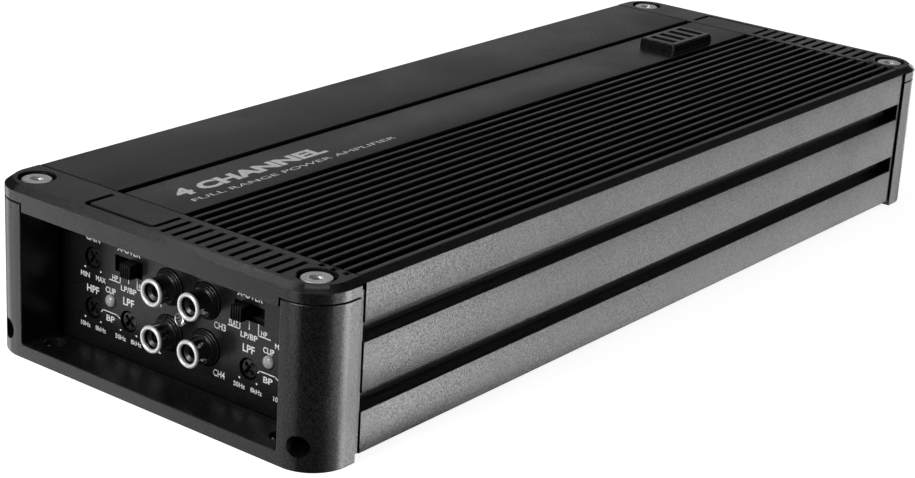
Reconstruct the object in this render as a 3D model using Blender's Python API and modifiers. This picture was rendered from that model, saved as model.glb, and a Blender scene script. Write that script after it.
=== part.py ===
"""Four-channel car amplifier: a finned extruded chassis between two cast end caps.

Metres, +Z up. The origin is the centre of the footprint on the ground. The long axis is X: the
control bay (phono sockets, trimmers, crossover switches) faces -X and the terminal bay faces +X.
Each object is one physical piece, and its name is the piece's name.
"""
from math import cos, pi, radians, sin

import bmesh
import bpy
from mathutils import Matrix, Vector

MM = 0.001
GAP = 0.3 * MM                      # clearance between pieces that touch

# Overall
LENGTH = 320.8 * MM
CAP_HALF_WIDTH = 61.0 * MM
HEIGHT = 50.0 * MM                  # top face, without the badge
CAP_DEPTH = 15.36 * MM

# Chassis extrusion
BODY_HALF_LENGTH = 143.07 * MM
BODY_HALF_WIDTH = 60.63 * MM
BODY_BOTTOM = 1.73 * MM
TOP_CHAMFER_RUN = 1.7 * MM
TOP_CHAMFER_DROP = 1.3 * MM
FIN_COUNT = 15
FIN_PITCH = 4.05 * MM
FIN_WIDTH = 1.4 * MM
FIRST_FIN_Y = -0.8 * MM
FIN_GROOVE_FLOOR = 44.5 * MM
BAND_EDGES = (2.7 * MM, 25.5 * MM)  # raised band between the fins and the plain panel
PANEL_EDGE = 28.2 * MM              # where the plain panel starts
SIDE_GROOVES = ((13.6 * MM, 18.55 * MM), (32.6 * MM, 37.8 * MM))
SIDE_GROOVE_FLOOR = 55.6 * MM
CAVITY_HALF_WIDTH = 51.0 * MM
CAVITY_TOP = 40.5 * MM
BOARD_SLOT = (7.1 * MM, 9.3 * MM)
BOARD_SLOT_HALF_WIDTH = 52.0 * MM
PLATE_LEDGE_Z = 4.9 * MM
PLATE_RECESS_HALF_WIDTH = 57.4 * MM
BOTTOM_SCREW_X = 120.0 * MM
BOTTOM_SCREW_Y = 54.2 * MM
BOTTOM_HOLE_RADIUS = 1.6 * MM       # screw holes up into the extrusion's walls
BOTTOM_HOLE_Z = (3.0 * MM, 13.0 * MM)
PLATE_BOTTOM = 3.1 * MM
PLATE_HOLE_RADIUS = 1.8 * MM
PAN_HEAD_RADIUS = 2.8 * MM          # M3 pan heads under the plate
PAN_HEAD_Z = (1.1 * MM, 1.7 * MM, 2.8 * MM)
PAN_SHANK_RADIUS = 1.3 * MM
PAN_SHANK_TOP = 11.0 * MM

# End caps: a frame with a floor and two posts, and a lid with a front rail
CAP_CORNER_RADIUS = 11.5 * MM
WINDOW_HALF_WIDTH = 47.6 * MM
FLOOR_TOP = 4.17 * MM
REBATE_DEPTH = 1.9 * MM
REBATE_STEP = 2.0 * MM
POST_TOP = 45.3 * MM
RAIL_BOTTOM = 43.0 * MM
RAIL_DEPTH = 6.0 * MM
RAIL_HALF_WIDTH = 47.1 * MM
LID_CHAMFER_RUN = 2.2 * MM
LID_CHAMFER_DROP = 1.6 * MM
CAP_SCREW_INSET = 9.3 * MM          # from the cap's front face
CAP_SCREW_Y = 51.25 * MM
SCREW_RECESS_RADIUS = 5.2 * MM
SCREW_RECESS_FLOOR = 47.1 * MM
SCREW_HEAD_RADIUS = 4.25 * MM
SCREW_HEAD_TOP = 49.6 * MM
LID_SLOT_COUNT = 11
LID_SLOT_LENGTH = 10.7 * MM
LID_SLOT_FRONT = 3.7 * MM           # from the cap's front face
LID_SLOT_DEPTH = 1.6 * MM
LID_LIP_GAP = 0.5 * MM             # between the lid's rear lip and the chassis
CORNER_HOLE_RADIUS = 2.95 * MM
CORNER_HOLE_Y = 53.9 * MM
CORNER_HOLE_Z = 7.0 * MM
FLOOR_HOLE_RADIUS = 2.8 * MM
FLOOR_HOLE_INSET = 7.4 * MM
FLOOR_HOLE_Y = 42.4 * MM
CORNER_STEPS = 8                    # flats round a quarter of a corner
CORNER_HOLE_DEPTH = 9.5 * MM      # from the cap's front face
THREAD_HOLE_RADIUS = 2.6 * MM       # lid screw's hole in a post
THREAD_HOLE_BOTTOM = 28.0 * MM
LID_HOLE_RADIUS = 2.7 * MM
CAP_SHANK_RADIUS = 2.3 * MM
CAP_SHANK_BOTTOM = 31.0 * MM
SCREW_HEAD_EDGE = 0.5 * MM
HEX_RADIUS = 1.6 * MM
HEX_DEPTH = 2.0 * MM

# Badge
BADGE_X = (98.5 * MM, 123.5 * MM)
BADGE_Y = (5.0 * MM, 19.6 * MM)
BADGE_RISE = (0.05 * MM, 3.1 * MM)  # above the top face
BADGE_EDGE = 0.6 * MM

# End panels, between the chassis and the caps
PANEL_THICKNESS = 1.4 * MM
PANEL_HALF_WIDTH = 60.2 * MM
PANEL_BOTTOM = 1.9 * MM
PANEL_TOP = 48.2 * MM
PANEL_CHAMFER = 1.5 * MM

# Control panel layout: PANEL_Y is the layout's centre, offsets are from it
PANEL_Y = -0.7 * MM
INNER_OFFSET = 22.45 * MM           # low-pass trimmer and crossover switch
OUTER_OFFSET = 36.5 * MM            # gain and high-pass trimmers
UPPER_ROW_Z = 28.9 * MM
LOWER_ROW_Z = 14.1 * MM

# Phono sockets
PHONO_OFFSET = 6.9 * MM
PHONO_ROWS = (28.85 * MM, 15.5 * MM)
PHONO_REACH = 7.2 * MM              # shell's front ring beyond the panel
PHONO_SHELL_RADIUS = 3.95 * MM
PHONO_INSULATOR_RADIUS = 2.6 * MM
PHONO_INSULATOR_INSET = 1.6 * MM    # behind the front ring
PHONO_PIN_HOLE_RADIUS = 1.5 * MM
PHONO_PIN_HOLE_DEPTH = 9.0 * MM     # from the front ring
PHONO_COLLAR_RADIUS = 5.05 * MM
PHONO_COLLAR_RISE = 0.9 * MM        # beyond the panel
PHONO_ROOT = 3.0 * MM               # shell's root, behind the panel's back
PHONO_BLOCK = (12.0 * MM, 28.0 * MM)    # depth and width
PHONO_BLOCK_MARGIN = 7.0 * MM       # above the upper row
PHONO_RING_EDGE = (0.5 * MM, 0.3 * MM)  # outer and inner chamfer of the ring
PHONO_SCREW_HOLE_RADIUS = 1.6 * MM
PHONO_SCREW_HEAD = ((0.0, 3.0 * MM), (1.6 * MM, 3.0 * MM), (2.2 * MM, 2.4 * MM), (2.2 * MM, GAP))
PHONO_SCREW_SHANK = (1.3 * MM, 8.0 * MM)

# Trimmers
TRIMMER_HOLE_RADIUS = 3.175 * MM
TRIMMER_ROTOR_RADIUS = 2.85 * MM
TRIMMER_ROTOR_INSET = 0.5 * MM      # behind the panel's front
TRIMMER_ROTOR_LENGTH = 4.6 * MM
TRIMMER_BODY = (5.7 * MM, 9.5 * MM)     # depth, and width and height
TRIMMER_SLOTS = ((1.0 * MM, 4.4 * MM), (3.6 * MM, 1.0 * MM))
TRIMMER_SLOT_DEPTH = 1.2 * MM
TRIMMER_SLOT_TURN = radians(45)

# Crossover switches
SWITCH_Z = 30.1 * MM
SWITCH_SLOT = (10.6 * MM, 4.8 * MM)
SWITCH_BODY = (6.2 * MM, 14.0 * MM, 8.0 * MM)
SWITCH_TRACK = (3.0 * MM, 10.0 * MM, 3.2 * MM)
SLIDER_REST = 1.9 * MM              # slider's offset from the slot's centre, towards the sockets
SLIDER_KNOB = (3.8 * MM, 4.1 * MM)
SLIDER_REACH = 3.4 * MM             # beyond the panel
SLIDER_TONGUE = (2.6 * MM, 3.0 * MM, 2.4 * MM)
SLIDER_RIB_COUNT = 4
SLIDER_RIB_PITCH = 0.9 * MM
SLIDER_RIB_GROOVE = 0.4 * MM        # width and depth

# Indicator lights
LED_OFFSET = 29.5 * MM
LED_Z = 18.2 * MM
LED_RADIUS = 1.85 * MM
LED_DOME = 1.1 * MM
LED_TAIL = 4.0 * MM                 # behind the panel

# Board and what stands on it
BOARD_BOTTOM = 7.4 * MM
BOARD_TOP = 9.0 * MM
ON_BOARD = BOARD_TOP + GAP

TRANSFORMER = (60.0 * MM, 0.0, 16.0 * MM, 7.0 * MM)    # x, y, ring radius, winding radius
CHOKE = (98.0 * MM, 22.0 * MM, 9.0 * MM, 4.5 * MM)
CAPACITOR_X = 15.0 * MM
CAPACITOR_Y = 13.0 * MM
CAPACITOR_RADIUS = 9.0 * MM
CAPACITOR_HEIGHT = 28.0 * MM
CAPACITOR_EDGE = 0.8 * MM
BOARD_END_GAP = 1.0 * MM
TRANSISTOR_X = (-75.0 * MM, -35.0 * MM)
TRANSISTOR = (16.0 * MM, 4.5 * MM, 20.0 * MM)
TRANSISTOR_LIFT = 4.0 * MM          # above the board
CLAMP_BAR_X = (-90.0 * MM, -20.0 * MM)
CLAMP_BAR_RISE = (7.0 * MM, 15.0 * MM)  # above the transistors' feet
CLAMP_BAR_THICKNESS = 3.0 * MM
CLAMP_BAR_EDGE = 0.5 * MM

# Power terminals: heights are above the block's foot
POWER_Y = -25.0 * MM
POWER_PITCH = 12.0 * MM
POWER_BLOCK = (22.0 * MM, 38.0 * MM, 20.0 * MM)
POWER_FRONT = 154.0 * MM
CLAMP_X = 146.0 * MM
WELL_Z = (1.5 * MM, 14.0 * MM)
WELL_BEHIND = 5.0 * MM              # from the screw's axis to the well's back
SHELF = 1.0 * MM                    # between the well and the screw's head
CAGE_SIZE = (8.0 * MM, 7.6 * MM, 9.0 * MM)
CAGE_WALL = 1.2 * MM
CAGE_ROOF = 1.8 * MM
CAGE_THREAD_RADIUS = 2.2 * MM
CLAMP_HEAD_HOLE_RADIUS = 3.5 * MM
CLAMP_HEAD_RADIUS = 3.1 * MM
CLAMP_HEAD_HEIGHT = 3.0 * MM
CLAMP_SHANK_RADIUS = 1.9 * MM
CLAMP_SHANK_ENTRY = 1.6 * MM        # into the cage's roof at rest
CLAMP_SLOT = (1.0 * MM, 1.2 * MM)   # width and depth

# Speaker socket
SPEAKER_Y = 21.0 * MM
SPEAKER_SOCKET = (18.0 * MM, 38.0 * MM, 15.0 * MM)
SPEAKER_FRONT = 152.0 * MM
SPEAKER_WALL = 1.5 * MM
SPEAKER_CAVITY = 10.0 * MM
SPEAKER_PIN_ROWS = 2
SPEAKER_PIN_COLUMNS = 4
SPEAKER_PIN_PITCH = (8.5 * MM, 5.5 * MM)
SPEAKER_PIN_SIZE = 1.2 * MM
SPEAKER_PIN_LENGTH = 6.0 * MM

OVERCUT = 1.0 * MM                  # how far a cutter runs past the face it opens

PANEL_FRONT = -(BODY_HALF_LENGTH + GAP + PANEL_THICKNESS)
PANEL_BACK = PANEL_FRONT + PANEL_THICKNESS
CAP_FRONT = -LENGTH / 2
CAP_BACK = CAP_FRONT + CAP_DEPTH
LID_BACK = -(BODY_HALF_LENGTH + LID_LIP_GAP)
SMOOTH_ANGLE = radians(35)


# ---------------------------------------------------------------- scene and materials
def clear_scene():
    for obj in list(bpy.data.objects):
        bpy.data.objects.remove(obj, do_unlink=True)


def collection(name):
    made = bpy.data.collections.new(name)
    bpy.context.scene.collection.children.link(made)
    return made


def material(name, colour, roughness, metallic):
    made = bpy.data.materials.new(name)
    made.use_nodes = True
    shader = made.node_tree.nodes["Principled BSDF"]
    shader.inputs["Base Color"].default_value = (*colour, 1.0)
    shader.inputs["Roughness"].default_value = roughness
    shader.inputs["Metallic"].default_value = metallic
    return made


clear_scene()
PARTS = collection("car_amplifier")
CUTTERS = collection("cutters")
ANODISED = material("black_anodised", (0.045, 0.046, 0.050), 0.55, 0.6)
CAST = material("black_cast", (0.040, 0.041, 0.045), 0.60, 0.4)
PANEL_PAINT = material("panel_paint", (0.012, 0.012, 0.014), 0.45, 0.0)
SCREW_STEEL = material("bright_steel", (0.80, 0.80, 0.80), 0.25, 1.0)
CHROME = material("chrome", (0.85, 0.85, 0.86), 0.08, 1.0)
BLACK_PLASTIC = material("black_plastic", (0.010, 0.010, 0.011), 0.40, 0.0)
TRIMMER_PLASTIC = material("trimmer_plastic", (0.020, 0.020, 0.022), 0.35, 0.0)
LENS = material("clear_lens", (0.80, 0.80, 0.78), 0.20, 0.0)
BADGE = material("badge_gloss", (0.008, 0.008, 0.009), 0.15, 0.0)
BOARD = material("board_green", (0.010, 0.110, 0.045), 0.45, 0.0)
BRASS = material("brass", (0.72, 0.55, 0.25), 0.30, 1.0)
COPPER = material("copper_winding", (0.62, 0.25, 0.10), 0.35, 0.8)
CAPACITOR = material("capacitor_sleeve", (0.015, 0.018, 0.045), 0.35, 0.0)
ZINC = material("zinc_steel", (0.60, 0.60, 0.58), 0.40, 1.0)


# ---------------------------------------------------------------- modelling helpers
def adopt(obj, name, finish=None, target=PARTS):
    """Name an object, give it its material and move it to its collection."""
    obj.name = name
    obj.data.name = name
    for owner in list(obj.users_collection):
        owner.objects.unlink(obj)
    target.objects.link(obj)
    if finish:
        obj.data.materials.clear()
        obj.data.materials.append(finish)
    return obj


def apply_scale(obj):
    obj.data.transform(Matrix.Diagonal((*obj.scale, 1.0)))
    obj.scale = (1.0, 1.0, 1.0)


def box(name, low, high, finish=None, target=PARTS):
    """A box between two corners, with its origin at its centre."""
    low, high = Vector(low), Vector(high)
    bpy.ops.mesh.primitive_cube_add(size=1.0, location=(low + high) / 2)
    obj = bpy.context.object
    obj.scale = high - low
    apply_scale(obj)
    return adopt(obj, name, finish, target)


def cylinder(name, radius, length, centre, axis="Z", sides=24, finish=None, target=PARTS):
    turn = {"X": (0.0, pi / 2, 0.0), "Y": (pi / 2, 0.0, 0.0), "Z": (0.0, 0.0, 0.0)}[axis]
    bpy.ops.mesh.primitive_cylinder_add(vertices=sides, radius=radius, depth=length,
                                        location=centre, rotation=turn)
    obj = adopt(bpy.context.object, name, finish, target)
    shade_round(obj)
    return obj


def shade_round(obj):
    obj.data.shade_smooth()
    obj.data.set_sharp_from_angle(angle=SMOOTH_ANGLE)


def modifier(obj, kind, name, **values):
    made = obj.modifiers.new(name, kind)
    for key, value in values.items():
        setattr(made, key, value)
    return made


def hide_tool(tool):
    tool.hide_render = True
    tool.display_type = "WIRE"
    for owner in list(tool.users_collection):
        owner.objects.unlink(tool)
    CUTTERS.objects.link(tool)


def combine(obj, tool, operation):
    hide_tool(tool)
    modifier(obj, "BOOLEAN", tool.name, operation=operation, object=tool, solver="EXACT")


def cut(obj, *tools):
    for tool in tools:
        combine(obj, tool, "DIFFERENCE")


def join(obj, *tools):
    for tool in tools:
        combine(obj, tool, "UNION")


def flat_outline(name, outlines, thickness, finish=None):
    """A closed outline, with any holes after it, as a mesh of the given thickness about z = 0."""
    curve = bpy.data.curves.new(name, "CURVE")
    curve.dimensions = "2D"
    curve.fill_mode = "BOTH"
    curve.extrude = thickness / 2
    for outline in outlines:
        spline = curve.splines.new("POLY")
        spline.points.add(len(outline) - 1)
        for point, (x, y) in zip(spline.points, outline):
            point.co = (x, y, 0.0, 1.0)
        spline.use_cyclic_u = True
    drawn = bpy.data.objects.new(name + "_outline", curve)
    bpy.context.scene.collection.objects.link(drawn)
    evaluated = drawn.evaluated_get(bpy.context.evaluated_depsgraph_get())
    mesh = bpy.data.meshes.new_from_object(evaluated)
    bpy.data.objects.remove(drawn, do_unlink=True)
    solid = bmesh.new()
    solid.from_mesh(mesh)
    bmesh.ops.remove_doubles(solid, verts=solid.verts, dist=0.00001)
    bmesh.ops.recalc_face_normals(solid, faces=solid.faces)
    solid.to_mesh(mesh)
    solid.free()
    obj = bpy.data.objects.new(name, mesh)
    PARTS.objects.link(obj)
    return adopt(obj, name, finish)


def stand_along_x(obj, x):
    """Turn a flat outline so that its own X and Y become the world's Y and Z, centred at x."""
    obj.rotation_euler = (pi / 2, 0.0, pi / 2)
    obj.location = (x, 0.0, 0.0)


def turned(name, profile, finish=None, sides=24):
    """A turned solid about Z. The profile is (radius, height) pairs down the outer side."""
    mesh = bpy.data.meshes.new(name)
    obj = bpy.data.objects.new(name, mesh)
    PARTS.objects.link(obj)
    points = [(radius, 0.0, height) for radius, height in profile]
    on_axis = profile[0][0] == 0.0 and profile[-1][0] == 0.0
    edges = [(i, i + 1) for i in range(len(points) - 1)]
    if not on_axis:
        edges.append((len(points) - 1, 0))
    mesh.from_pydata(points, edges, [])
    modifier(obj, "SCREW", "turn", axis="Z", steps=sides, render_steps=sides,
             use_merge_vertices=True, merge_threshold=0.00001)
    adopt(obj, name, finish)
    return obj


def point_along_minus_x(obj, location):
    """Lay a turned solid's own +Z along the world's -X."""
    obj.rotation_euler = (0.0, -pi / 2, 0.0)
    obj.location = location


def circle(y, z, radius, sides=20):
    return [(y + radius * cos(2 * pi * i / sides), z + radius * sin(2 * pi * i / sides))
            for i in range(sides)]


def rectangle(y, z, width, height):
    return [(y - width / 2, z - height / 2), (y + width / 2, z - height / 2),
            (y + width / 2, z + height / 2), (y - width / 2, z + height / 2)]


# ---------------------------------------------------------------- chassis
def side_profile(side):
    """Outer side of the extrusion from its foot to its top chamfer; side is -1 or 1."""
    outer = BODY_HALF_WIDTH
    points = [(PLATE_RECESS_HALF_WIDTH, BODY_BOTTOM), (outer, BODY_BOTTOM)]
    for low, high in SIDE_GROOVES:
        points += [(outer, low), (SIDE_GROOVE_FLOOR, low), (SIDE_GROOVE_FLOOR, high), (outer, high)]
    points += [(outer, HEIGHT - TOP_CHAMFER_DROP), (outer - TOP_CHAMFER_RUN, HEIGHT)]
    return [(side * y, z) for y, z in points]


def cavity_profile(side):
    """Inner side of the extrusion from its foot to the cavity's ceiling."""
    wall, slot = CAVITY_HALF_WIDTH, BOARD_SLOT_HALF_WIDTH
    points = [(PLATE_RECESS_HALF_WIDTH, PLATE_LEDGE_Z), (wall, PLATE_LEDGE_Z), (wall, BOARD_SLOT[0]),
              (slot, BOARD_SLOT[0]), (slot, BOARD_SLOT[1]), (wall, BOARD_SLOT[1]), (wall, CAVITY_TOP)]
    return [(side * y, z) for y, z in points]


def fin_profile():
    """The top from the -Y edge strip to the plain panel, with a groove between fins."""
    points = []
    centres = [FIRST_FIN_Y - FIN_PITCH * i for i in range(FIN_COUNT)]
    for outer, inner in zip(centres[::-1], centres[-2::-1]):
        left, right = outer + FIN_WIDTH / 2, inner - FIN_WIDTH / 2
        points += [(left, HEIGHT), (left, FIN_GROOVE_FLOOR),
                   (right, FIN_GROOVE_FLOOR), (right, HEIGHT)]
    for left, right in ((FIRST_FIN_Y + FIN_WIDTH / 2, BAND_EDGES[0]), (BAND_EDGES[1], PANEL_EDGE)):
        points += [(left, HEIGHT), (left, FIN_GROOVE_FLOOR),
                   (right, FIN_GROOVE_FLOOR), (right, HEIGHT)]
    return points


def heatsink_body():
    outline = side_profile(-1) + fin_profile() + side_profile(1)[::-1]
    outline += cavity_profile(1) + cavity_profile(-1)[::-1]
    obj = flat_outline("heatsink_body", [outline], 2 * BODY_HALF_LENGTH, ANODISED)
    stand_along_x(obj, 0.0)
    low, high = BOTTOM_HOLE_Z
    for index, (x, y) in enumerate(bottom_screw_places(), 1):
        cut(obj, cylinder(f"cut_bottom_screw_{index}", BOTTOM_HOLE_RADIUS, high - low,
                          (x, y, (low + high) / 2), sides=12))
    return obj


def bottom_screw_places():
    return [(x, y) for x in (-BOTTOM_SCREW_X, BOTTOM_SCREW_X) for y in (-BOTTOM_SCREW_Y, BOTTOM_SCREW_Y)]


def bottom_plate():
    low, high = PLATE_BOTTOM, PLATE_LEDGE_Z - GAP
    half_length, half_width = BODY_HALF_LENGTH - GAP, PLATE_RECESS_HALF_WIDTH - GAP
    holes = [circle(x, y, PLATE_HOLE_RADIUS, 16) for x, y in bottom_screw_places()]
    outline = rectangle(0.0, 0.0, 2 * half_length, 2 * half_width)
    obj = flat_outline("bottom_plate", [outline] + holes, high - low, PANEL_PAINT)
    obj.location = (0.0, 0.0, (low + high) / 2)
    return obj


def bottom_screws():
    """Pan-head M3 screws, heads down, from the plate up into the extrusion's walls."""
    head, shank = PAN_HEAD_RADIUS, PAN_SHANK_RADIUS
    crown, edge, seat = PAN_HEAD_Z
    profile = [(0.0, PAN_SHANK_TOP), (shank, PAN_SHANK_TOP), (shank, seat), (head, seat),
               (head, edge), (head * 0.8, crown), (0.0, crown)]
    for index, (x, y) in enumerate(bottom_screw_places(), 1):
        obj = turned(f"bottom_plate_screw_{index}", profile, ZINC, 12)
        obj.location = (x, y, 0.0)


# ---------------------------------------------------------------- end caps
def cap_outline(back, inset=0.0):
    """Plan of a cap at the control end: flat front, two round corners, square back.

    An inset draws in the front and the sides, and leaves the back where it is.
    """
    centre_x, centre_y = CAP_FRONT + CAP_CORNER_RADIUS, CAP_HALF_WIDTH - CAP_CORNER_RADIUS
    radius = CAP_CORNER_RADIUS - inset
    angles = [pi / 2 * i / CORNER_STEPS for i in range(CORNER_STEPS + 1)]
    corner = [(centre_x - radius * sin(angle), centre_y + radius * cos(angle)) for angle in angles]
    left = [(back, CAP_HALF_WIDTH - inset)] + corner
    return left + [(x, -y) for x, y in reversed(left)]


def at_end(end, obj):
    """Turn a piece modelled at the control end round to the terminal end when end is 1."""
    if end > 0:
        obj.data.transform(obj.matrix_basis)
        obj.matrix_basis = Matrix.Identity(4)
        obj.data.transform(Matrix.Diagonal((-1.0, -1.0, 1.0, 1.0)))
    return obj


def cap_box(name, end, low, high):
    return at_end(end, box(name, low, high))


def cap_drill(name, end, radius, low, high, place, sides):
    """An upright cutter at (x, y) of the control end, turned round with its cap."""
    middle = (*place, (low + high) / 2)
    return at_end(end, cylinder(name, radius, high - low, middle, sides=sides))


def corner_drill(name, end, side):
    """A level cutter along X into a round corner, near its foot."""
    length = CORNER_HOLE_DEPTH + OVERCUT
    centre = (CAP_FRONT - OVERCUT + length / 2, side * CORNER_HOLE_Y, CORNER_HOLE_Z)
    return at_end(end, cylinder(name, CORNER_HOLE_RADIUS, length, centre, "X", 20))


def cap_frame(name, end):
    """Floor and two posts round a bay, rebated behind for the end panel."""
    frame = flat_outline(name, [cap_outline(CAP_BACK)], POST_TOP, CAST)
    frame.location = (0.0, 0.0, POST_TOP / 2)
    at_end(end, frame)
    opening = WINDOW_HALF_WIDTH + REBATE_STEP
    tools = [
        cap_box(name + "_window", end, (CAP_FRONT - OVERCUT, -WINDOW_HALF_WIDTH, FLOOR_TOP),
                (CAP_BACK + OVERCUT, WINDOW_HALF_WIDTH, POST_TOP + OVERCUT)),
        cap_box(name + "_rebate", end, (CAP_BACK - REBATE_DEPTH, -opening, FLOOR_TOP - REBATE_STEP),
                (CAP_BACK + 2 * OVERCUT, opening, POST_TOP + 2 * OVERCUT)),
    ]
    for side in (-1, 1):
        screw = (CAP_FRONT + CAP_SCREW_INSET, side * CAP_SCREW_Y)
        hole = (CAP_FRONT + FLOOR_HOLE_INSET, side * FLOOR_HOLE_Y)
        tools += [
            cap_drill(f"{name}_thread_{side}", end, THREAD_HOLE_RADIUS, THREAD_HOLE_BOTTOM,
                      POST_TOP + OVERCUT, screw, 16),
            cap_drill(f"{name}_floor_hole_{side}", end, FLOOR_HOLE_RADIUS, -OVERCUT,
                      FLOOR_TOP + OVERCUT, hole, 16),
            corner_drill(f"{name}_corner_hole_{side}", end, side),
        ]
    cut(frame, *tools)
    return frame


def chamfered_plate(name):
    """The cap's plan raised from the rail's foot to the top, chamfered round all but the back."""
    levels = ((0.0, RAIL_BOTTOM), (0.0, HEIGHT - LID_CHAMFER_DROP), (LID_CHAMFER_RUN, HEIGHT))
    solid = bmesh.new()
    rings = [[solid.verts.new((x, y, z)) for x, y in cap_outline(LID_BACK, inset)]
             for inset, z in levels]
    for lower, upper in zip(rings, rings[1:]):
        for i in range(len(lower)):
            solid.faces.new((lower[i - 1], lower[i], upper[i], upper[i - 1]))
    solid.faces.new(rings[0])
    solid.faces.new(rings[-1])
    bmesh.ops.recalc_face_normals(solid, faces=solid.faces)
    mesh = bpy.data.meshes.new(name)
    solid.to_mesh(mesh)
    solid.free()
    plate = bpy.data.objects.new(name, mesh)
    PARTS.objects.link(plate)
    return adopt(plate, name, CAST)


def cap_lid(name, end):
    """Top of a cap: a chamfered plate with a front rail, a rear lip, slots and two screw recesses."""
    lid = at_end(end, chamfered_plate(name))
    seam = POST_TOP + GAP
    front, rear, foot = CAP_FRONT - OVERCUT, LID_BACK + OVERCUT, RAIL_BOTTOM - OVERCUT
    beside = CAP_HALF_WIDTH + OVERCUT
    tools = [
        cap_box(name + "_left_post", end, (front, RAIL_HALF_WIDTH, foot), (rear, beside, seam)),
        cap_box(name + "_right_post", end, (front, -beside, foot), (rear, -RAIL_HALF_WIDTH, seam)),
        cap_box(name + "_over_panel", end, (CAP_BACK, -beside, foot), (rear, beside, PANEL_TOP + GAP)),
        cap_box(name + "_pocket", end, (CAP_FRONT + RAIL_DEPTH, -RAIL_HALF_WIDTH - OVERCUT, foot),
                (rear, RAIL_HALF_WIDTH + OVERCUT, seam)),
    ]
    for side in (-1, 1):
        place = (CAP_FRONT + CAP_SCREW_INSET, side * CAP_SCREW_Y)
        tools += [
            cap_drill(f"{name}_screw_{side}", end, LID_HOLE_RADIUS, seam - OVERCUT,
                      SCREW_RECESS_FLOOR + OVERCUT, place, 16),
            cap_drill(f"{name}_recess_{side}", end, SCREW_RECESS_RADIUS, SCREW_RECESS_FLOOR,
                      HEIGHT + OVERCUT, place, 28),
        ]
    tools.append(lid_slots(name, end))
    cut(lid, *tools)
    return lid


def lid_slots(name, end):
    """One cutter for the row of short slots that carry the chassis grooves on into the lid."""
    mesh = bpy.data.meshes.new(name + "_slots")
    solid = bmesh.new()
    x = CAP_FRONT + LID_SLOT_FRONT + LID_SLOT_LENGTH / 2
    for index in range(LID_SLOT_COUNT):
        y = FIRST_FIN_Y - FIN_PITCH * (index + 0.5)
        place = Matrix.Translation((x, y * -end, HEIGHT))
        size = Matrix.Diagonal((LID_SLOT_LENGTH, FIN_WIDTH, 2 * LID_SLOT_DEPTH, 1.0))
        bmesh.ops.create_cube(solid, size=1.0, matrix=place @ size)
    solid.to_mesh(mesh)
    solid.free()
    tool = bpy.data.objects.new(name + "_slots", mesh)
    PARTS.objects.link(tool)
    return at_end(end, tool)


def cap_screws():
    """Flat-head M5 socket screws that hold each lid down on its posts."""
    head, shank = SCREW_HEAD_RADIUS, CAP_SHANK_RADIUS
    under = SCREW_RECESS_FLOOR + GAP
    profile = [(0.0, SCREW_HEAD_TOP), (head - SCREW_HEAD_EDGE, SCREW_HEAD_TOP),
               (head, SCREW_HEAD_TOP - SCREW_HEAD_EDGE), (head, under), (shank, under),
               (shank, CAP_SHANK_BOTTOM), (0.0, CAP_SHANK_BOTTOM)]
    for end, place in ((-1, "control"), (1, "terminal")):
        for side, hand in ((-1, "right"), (1, "left")):
            obj = turned(f"{place}_lid_screw_{hand}", profile, SCREW_STEEL, 18)
            obj.location = (-end * (CAP_FRONT + CAP_SCREW_INSET), side * CAP_SCREW_Y, 0.0)
            cut(obj, cylinder(obj.name + "_socket", HEX_RADIUS, 2 * HEX_DEPTH,
                              (*obj.location[:2], SCREW_HEAD_TOP), sides=6))


def badge():
    """A plain raised block near the far end of the band."""
    low = (BADGE_X[0], BADGE_Y[0], HEIGHT + BADGE_RISE[0])
    high = (BADGE_X[1], BADGE_Y[1], HEIGHT + BADGE_RISE[1])
    obj = box("badge", low, high, BADGE)
    modifier(obj, "BEVEL", "edges", width=BADGE_EDGE, segments=1)
    return obj


# ---------------------------------------------------------------- end panels
def panel_outline():
    low, high, half, chamfer = PANEL_BOTTOM, PANEL_TOP, PANEL_HALF_WIDTH, PANEL_CHAMFER
    return [(-half, low), (half, low), (half, high - chamfer), (half - chamfer, high),
            (-half + chamfer, high), (-half, high - chamfer)]


def phono_places():
    return [(PANEL_Y + side * PHONO_OFFSET, z) for z in PHONO_ROWS for side in (1, -1)]


def trimmer_places():
    """Name, y and z of each trimmer; bank a is on the +Y side."""
    places = []
    for side, bank in ((1, "a"), (-1, "b")):
        outer, inner = PANEL_Y + side * OUTER_OFFSET, PANEL_Y + side * INNER_OFFSET
        places += [(f"gain_{bank}", outer, UPPER_ROW_Z), (f"high_pass_{bank}", outer, LOWER_ROW_Z),
                   (f"low_pass_{bank}", inner, LOWER_ROW_Z)]
    return places


def control_panel():
    holes = [circle(y, z, PHONO_COLLAR_RADIUS + GAP) for y, z in phono_places()]
    holes += [circle(y, z, TRIMMER_HOLE_RADIUS, 18) for _, y, z in trimmer_places()]
    for side in (1, -1):
        holes.append(rectangle(PANEL_Y + side * INNER_OFFSET, SWITCH_Z, *SWITCH_SLOT))
        holes.append(circle(PANEL_Y + side * LED_OFFSET, LED_Z, LED_RADIUS + GAP, 16))
    holes.append(circle(PANEL_Y, sum(PHONO_ROWS) / 2, PHONO_SCREW_HOLE_RADIUS, 12))
    obj = flat_outline("control_panel", [panel_outline()] + holes, PANEL_THICKNESS, PANEL_PAINT)
    stand_along_x(obj, PANEL_FRONT + PANEL_THICKNESS / 2)
    return obj


def terminal_panel():
    openings = [rectangle(y, ON_BOARD + height / 2, width + 2 * GAP, height + 2 * GAP)
                for y, (_, width, height) in ((POWER_Y, POWER_BLOCK), (SPEAKER_Y, SPEAKER_SOCKET))]
    obj = flat_outline("terminal_panel", [panel_outline()] + openings, PANEL_THICKNESS, PANEL_PAINT)
    stand_along_x(obj, -PANEL_FRONT - PANEL_THICKNESS / 2)
    return obj


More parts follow.
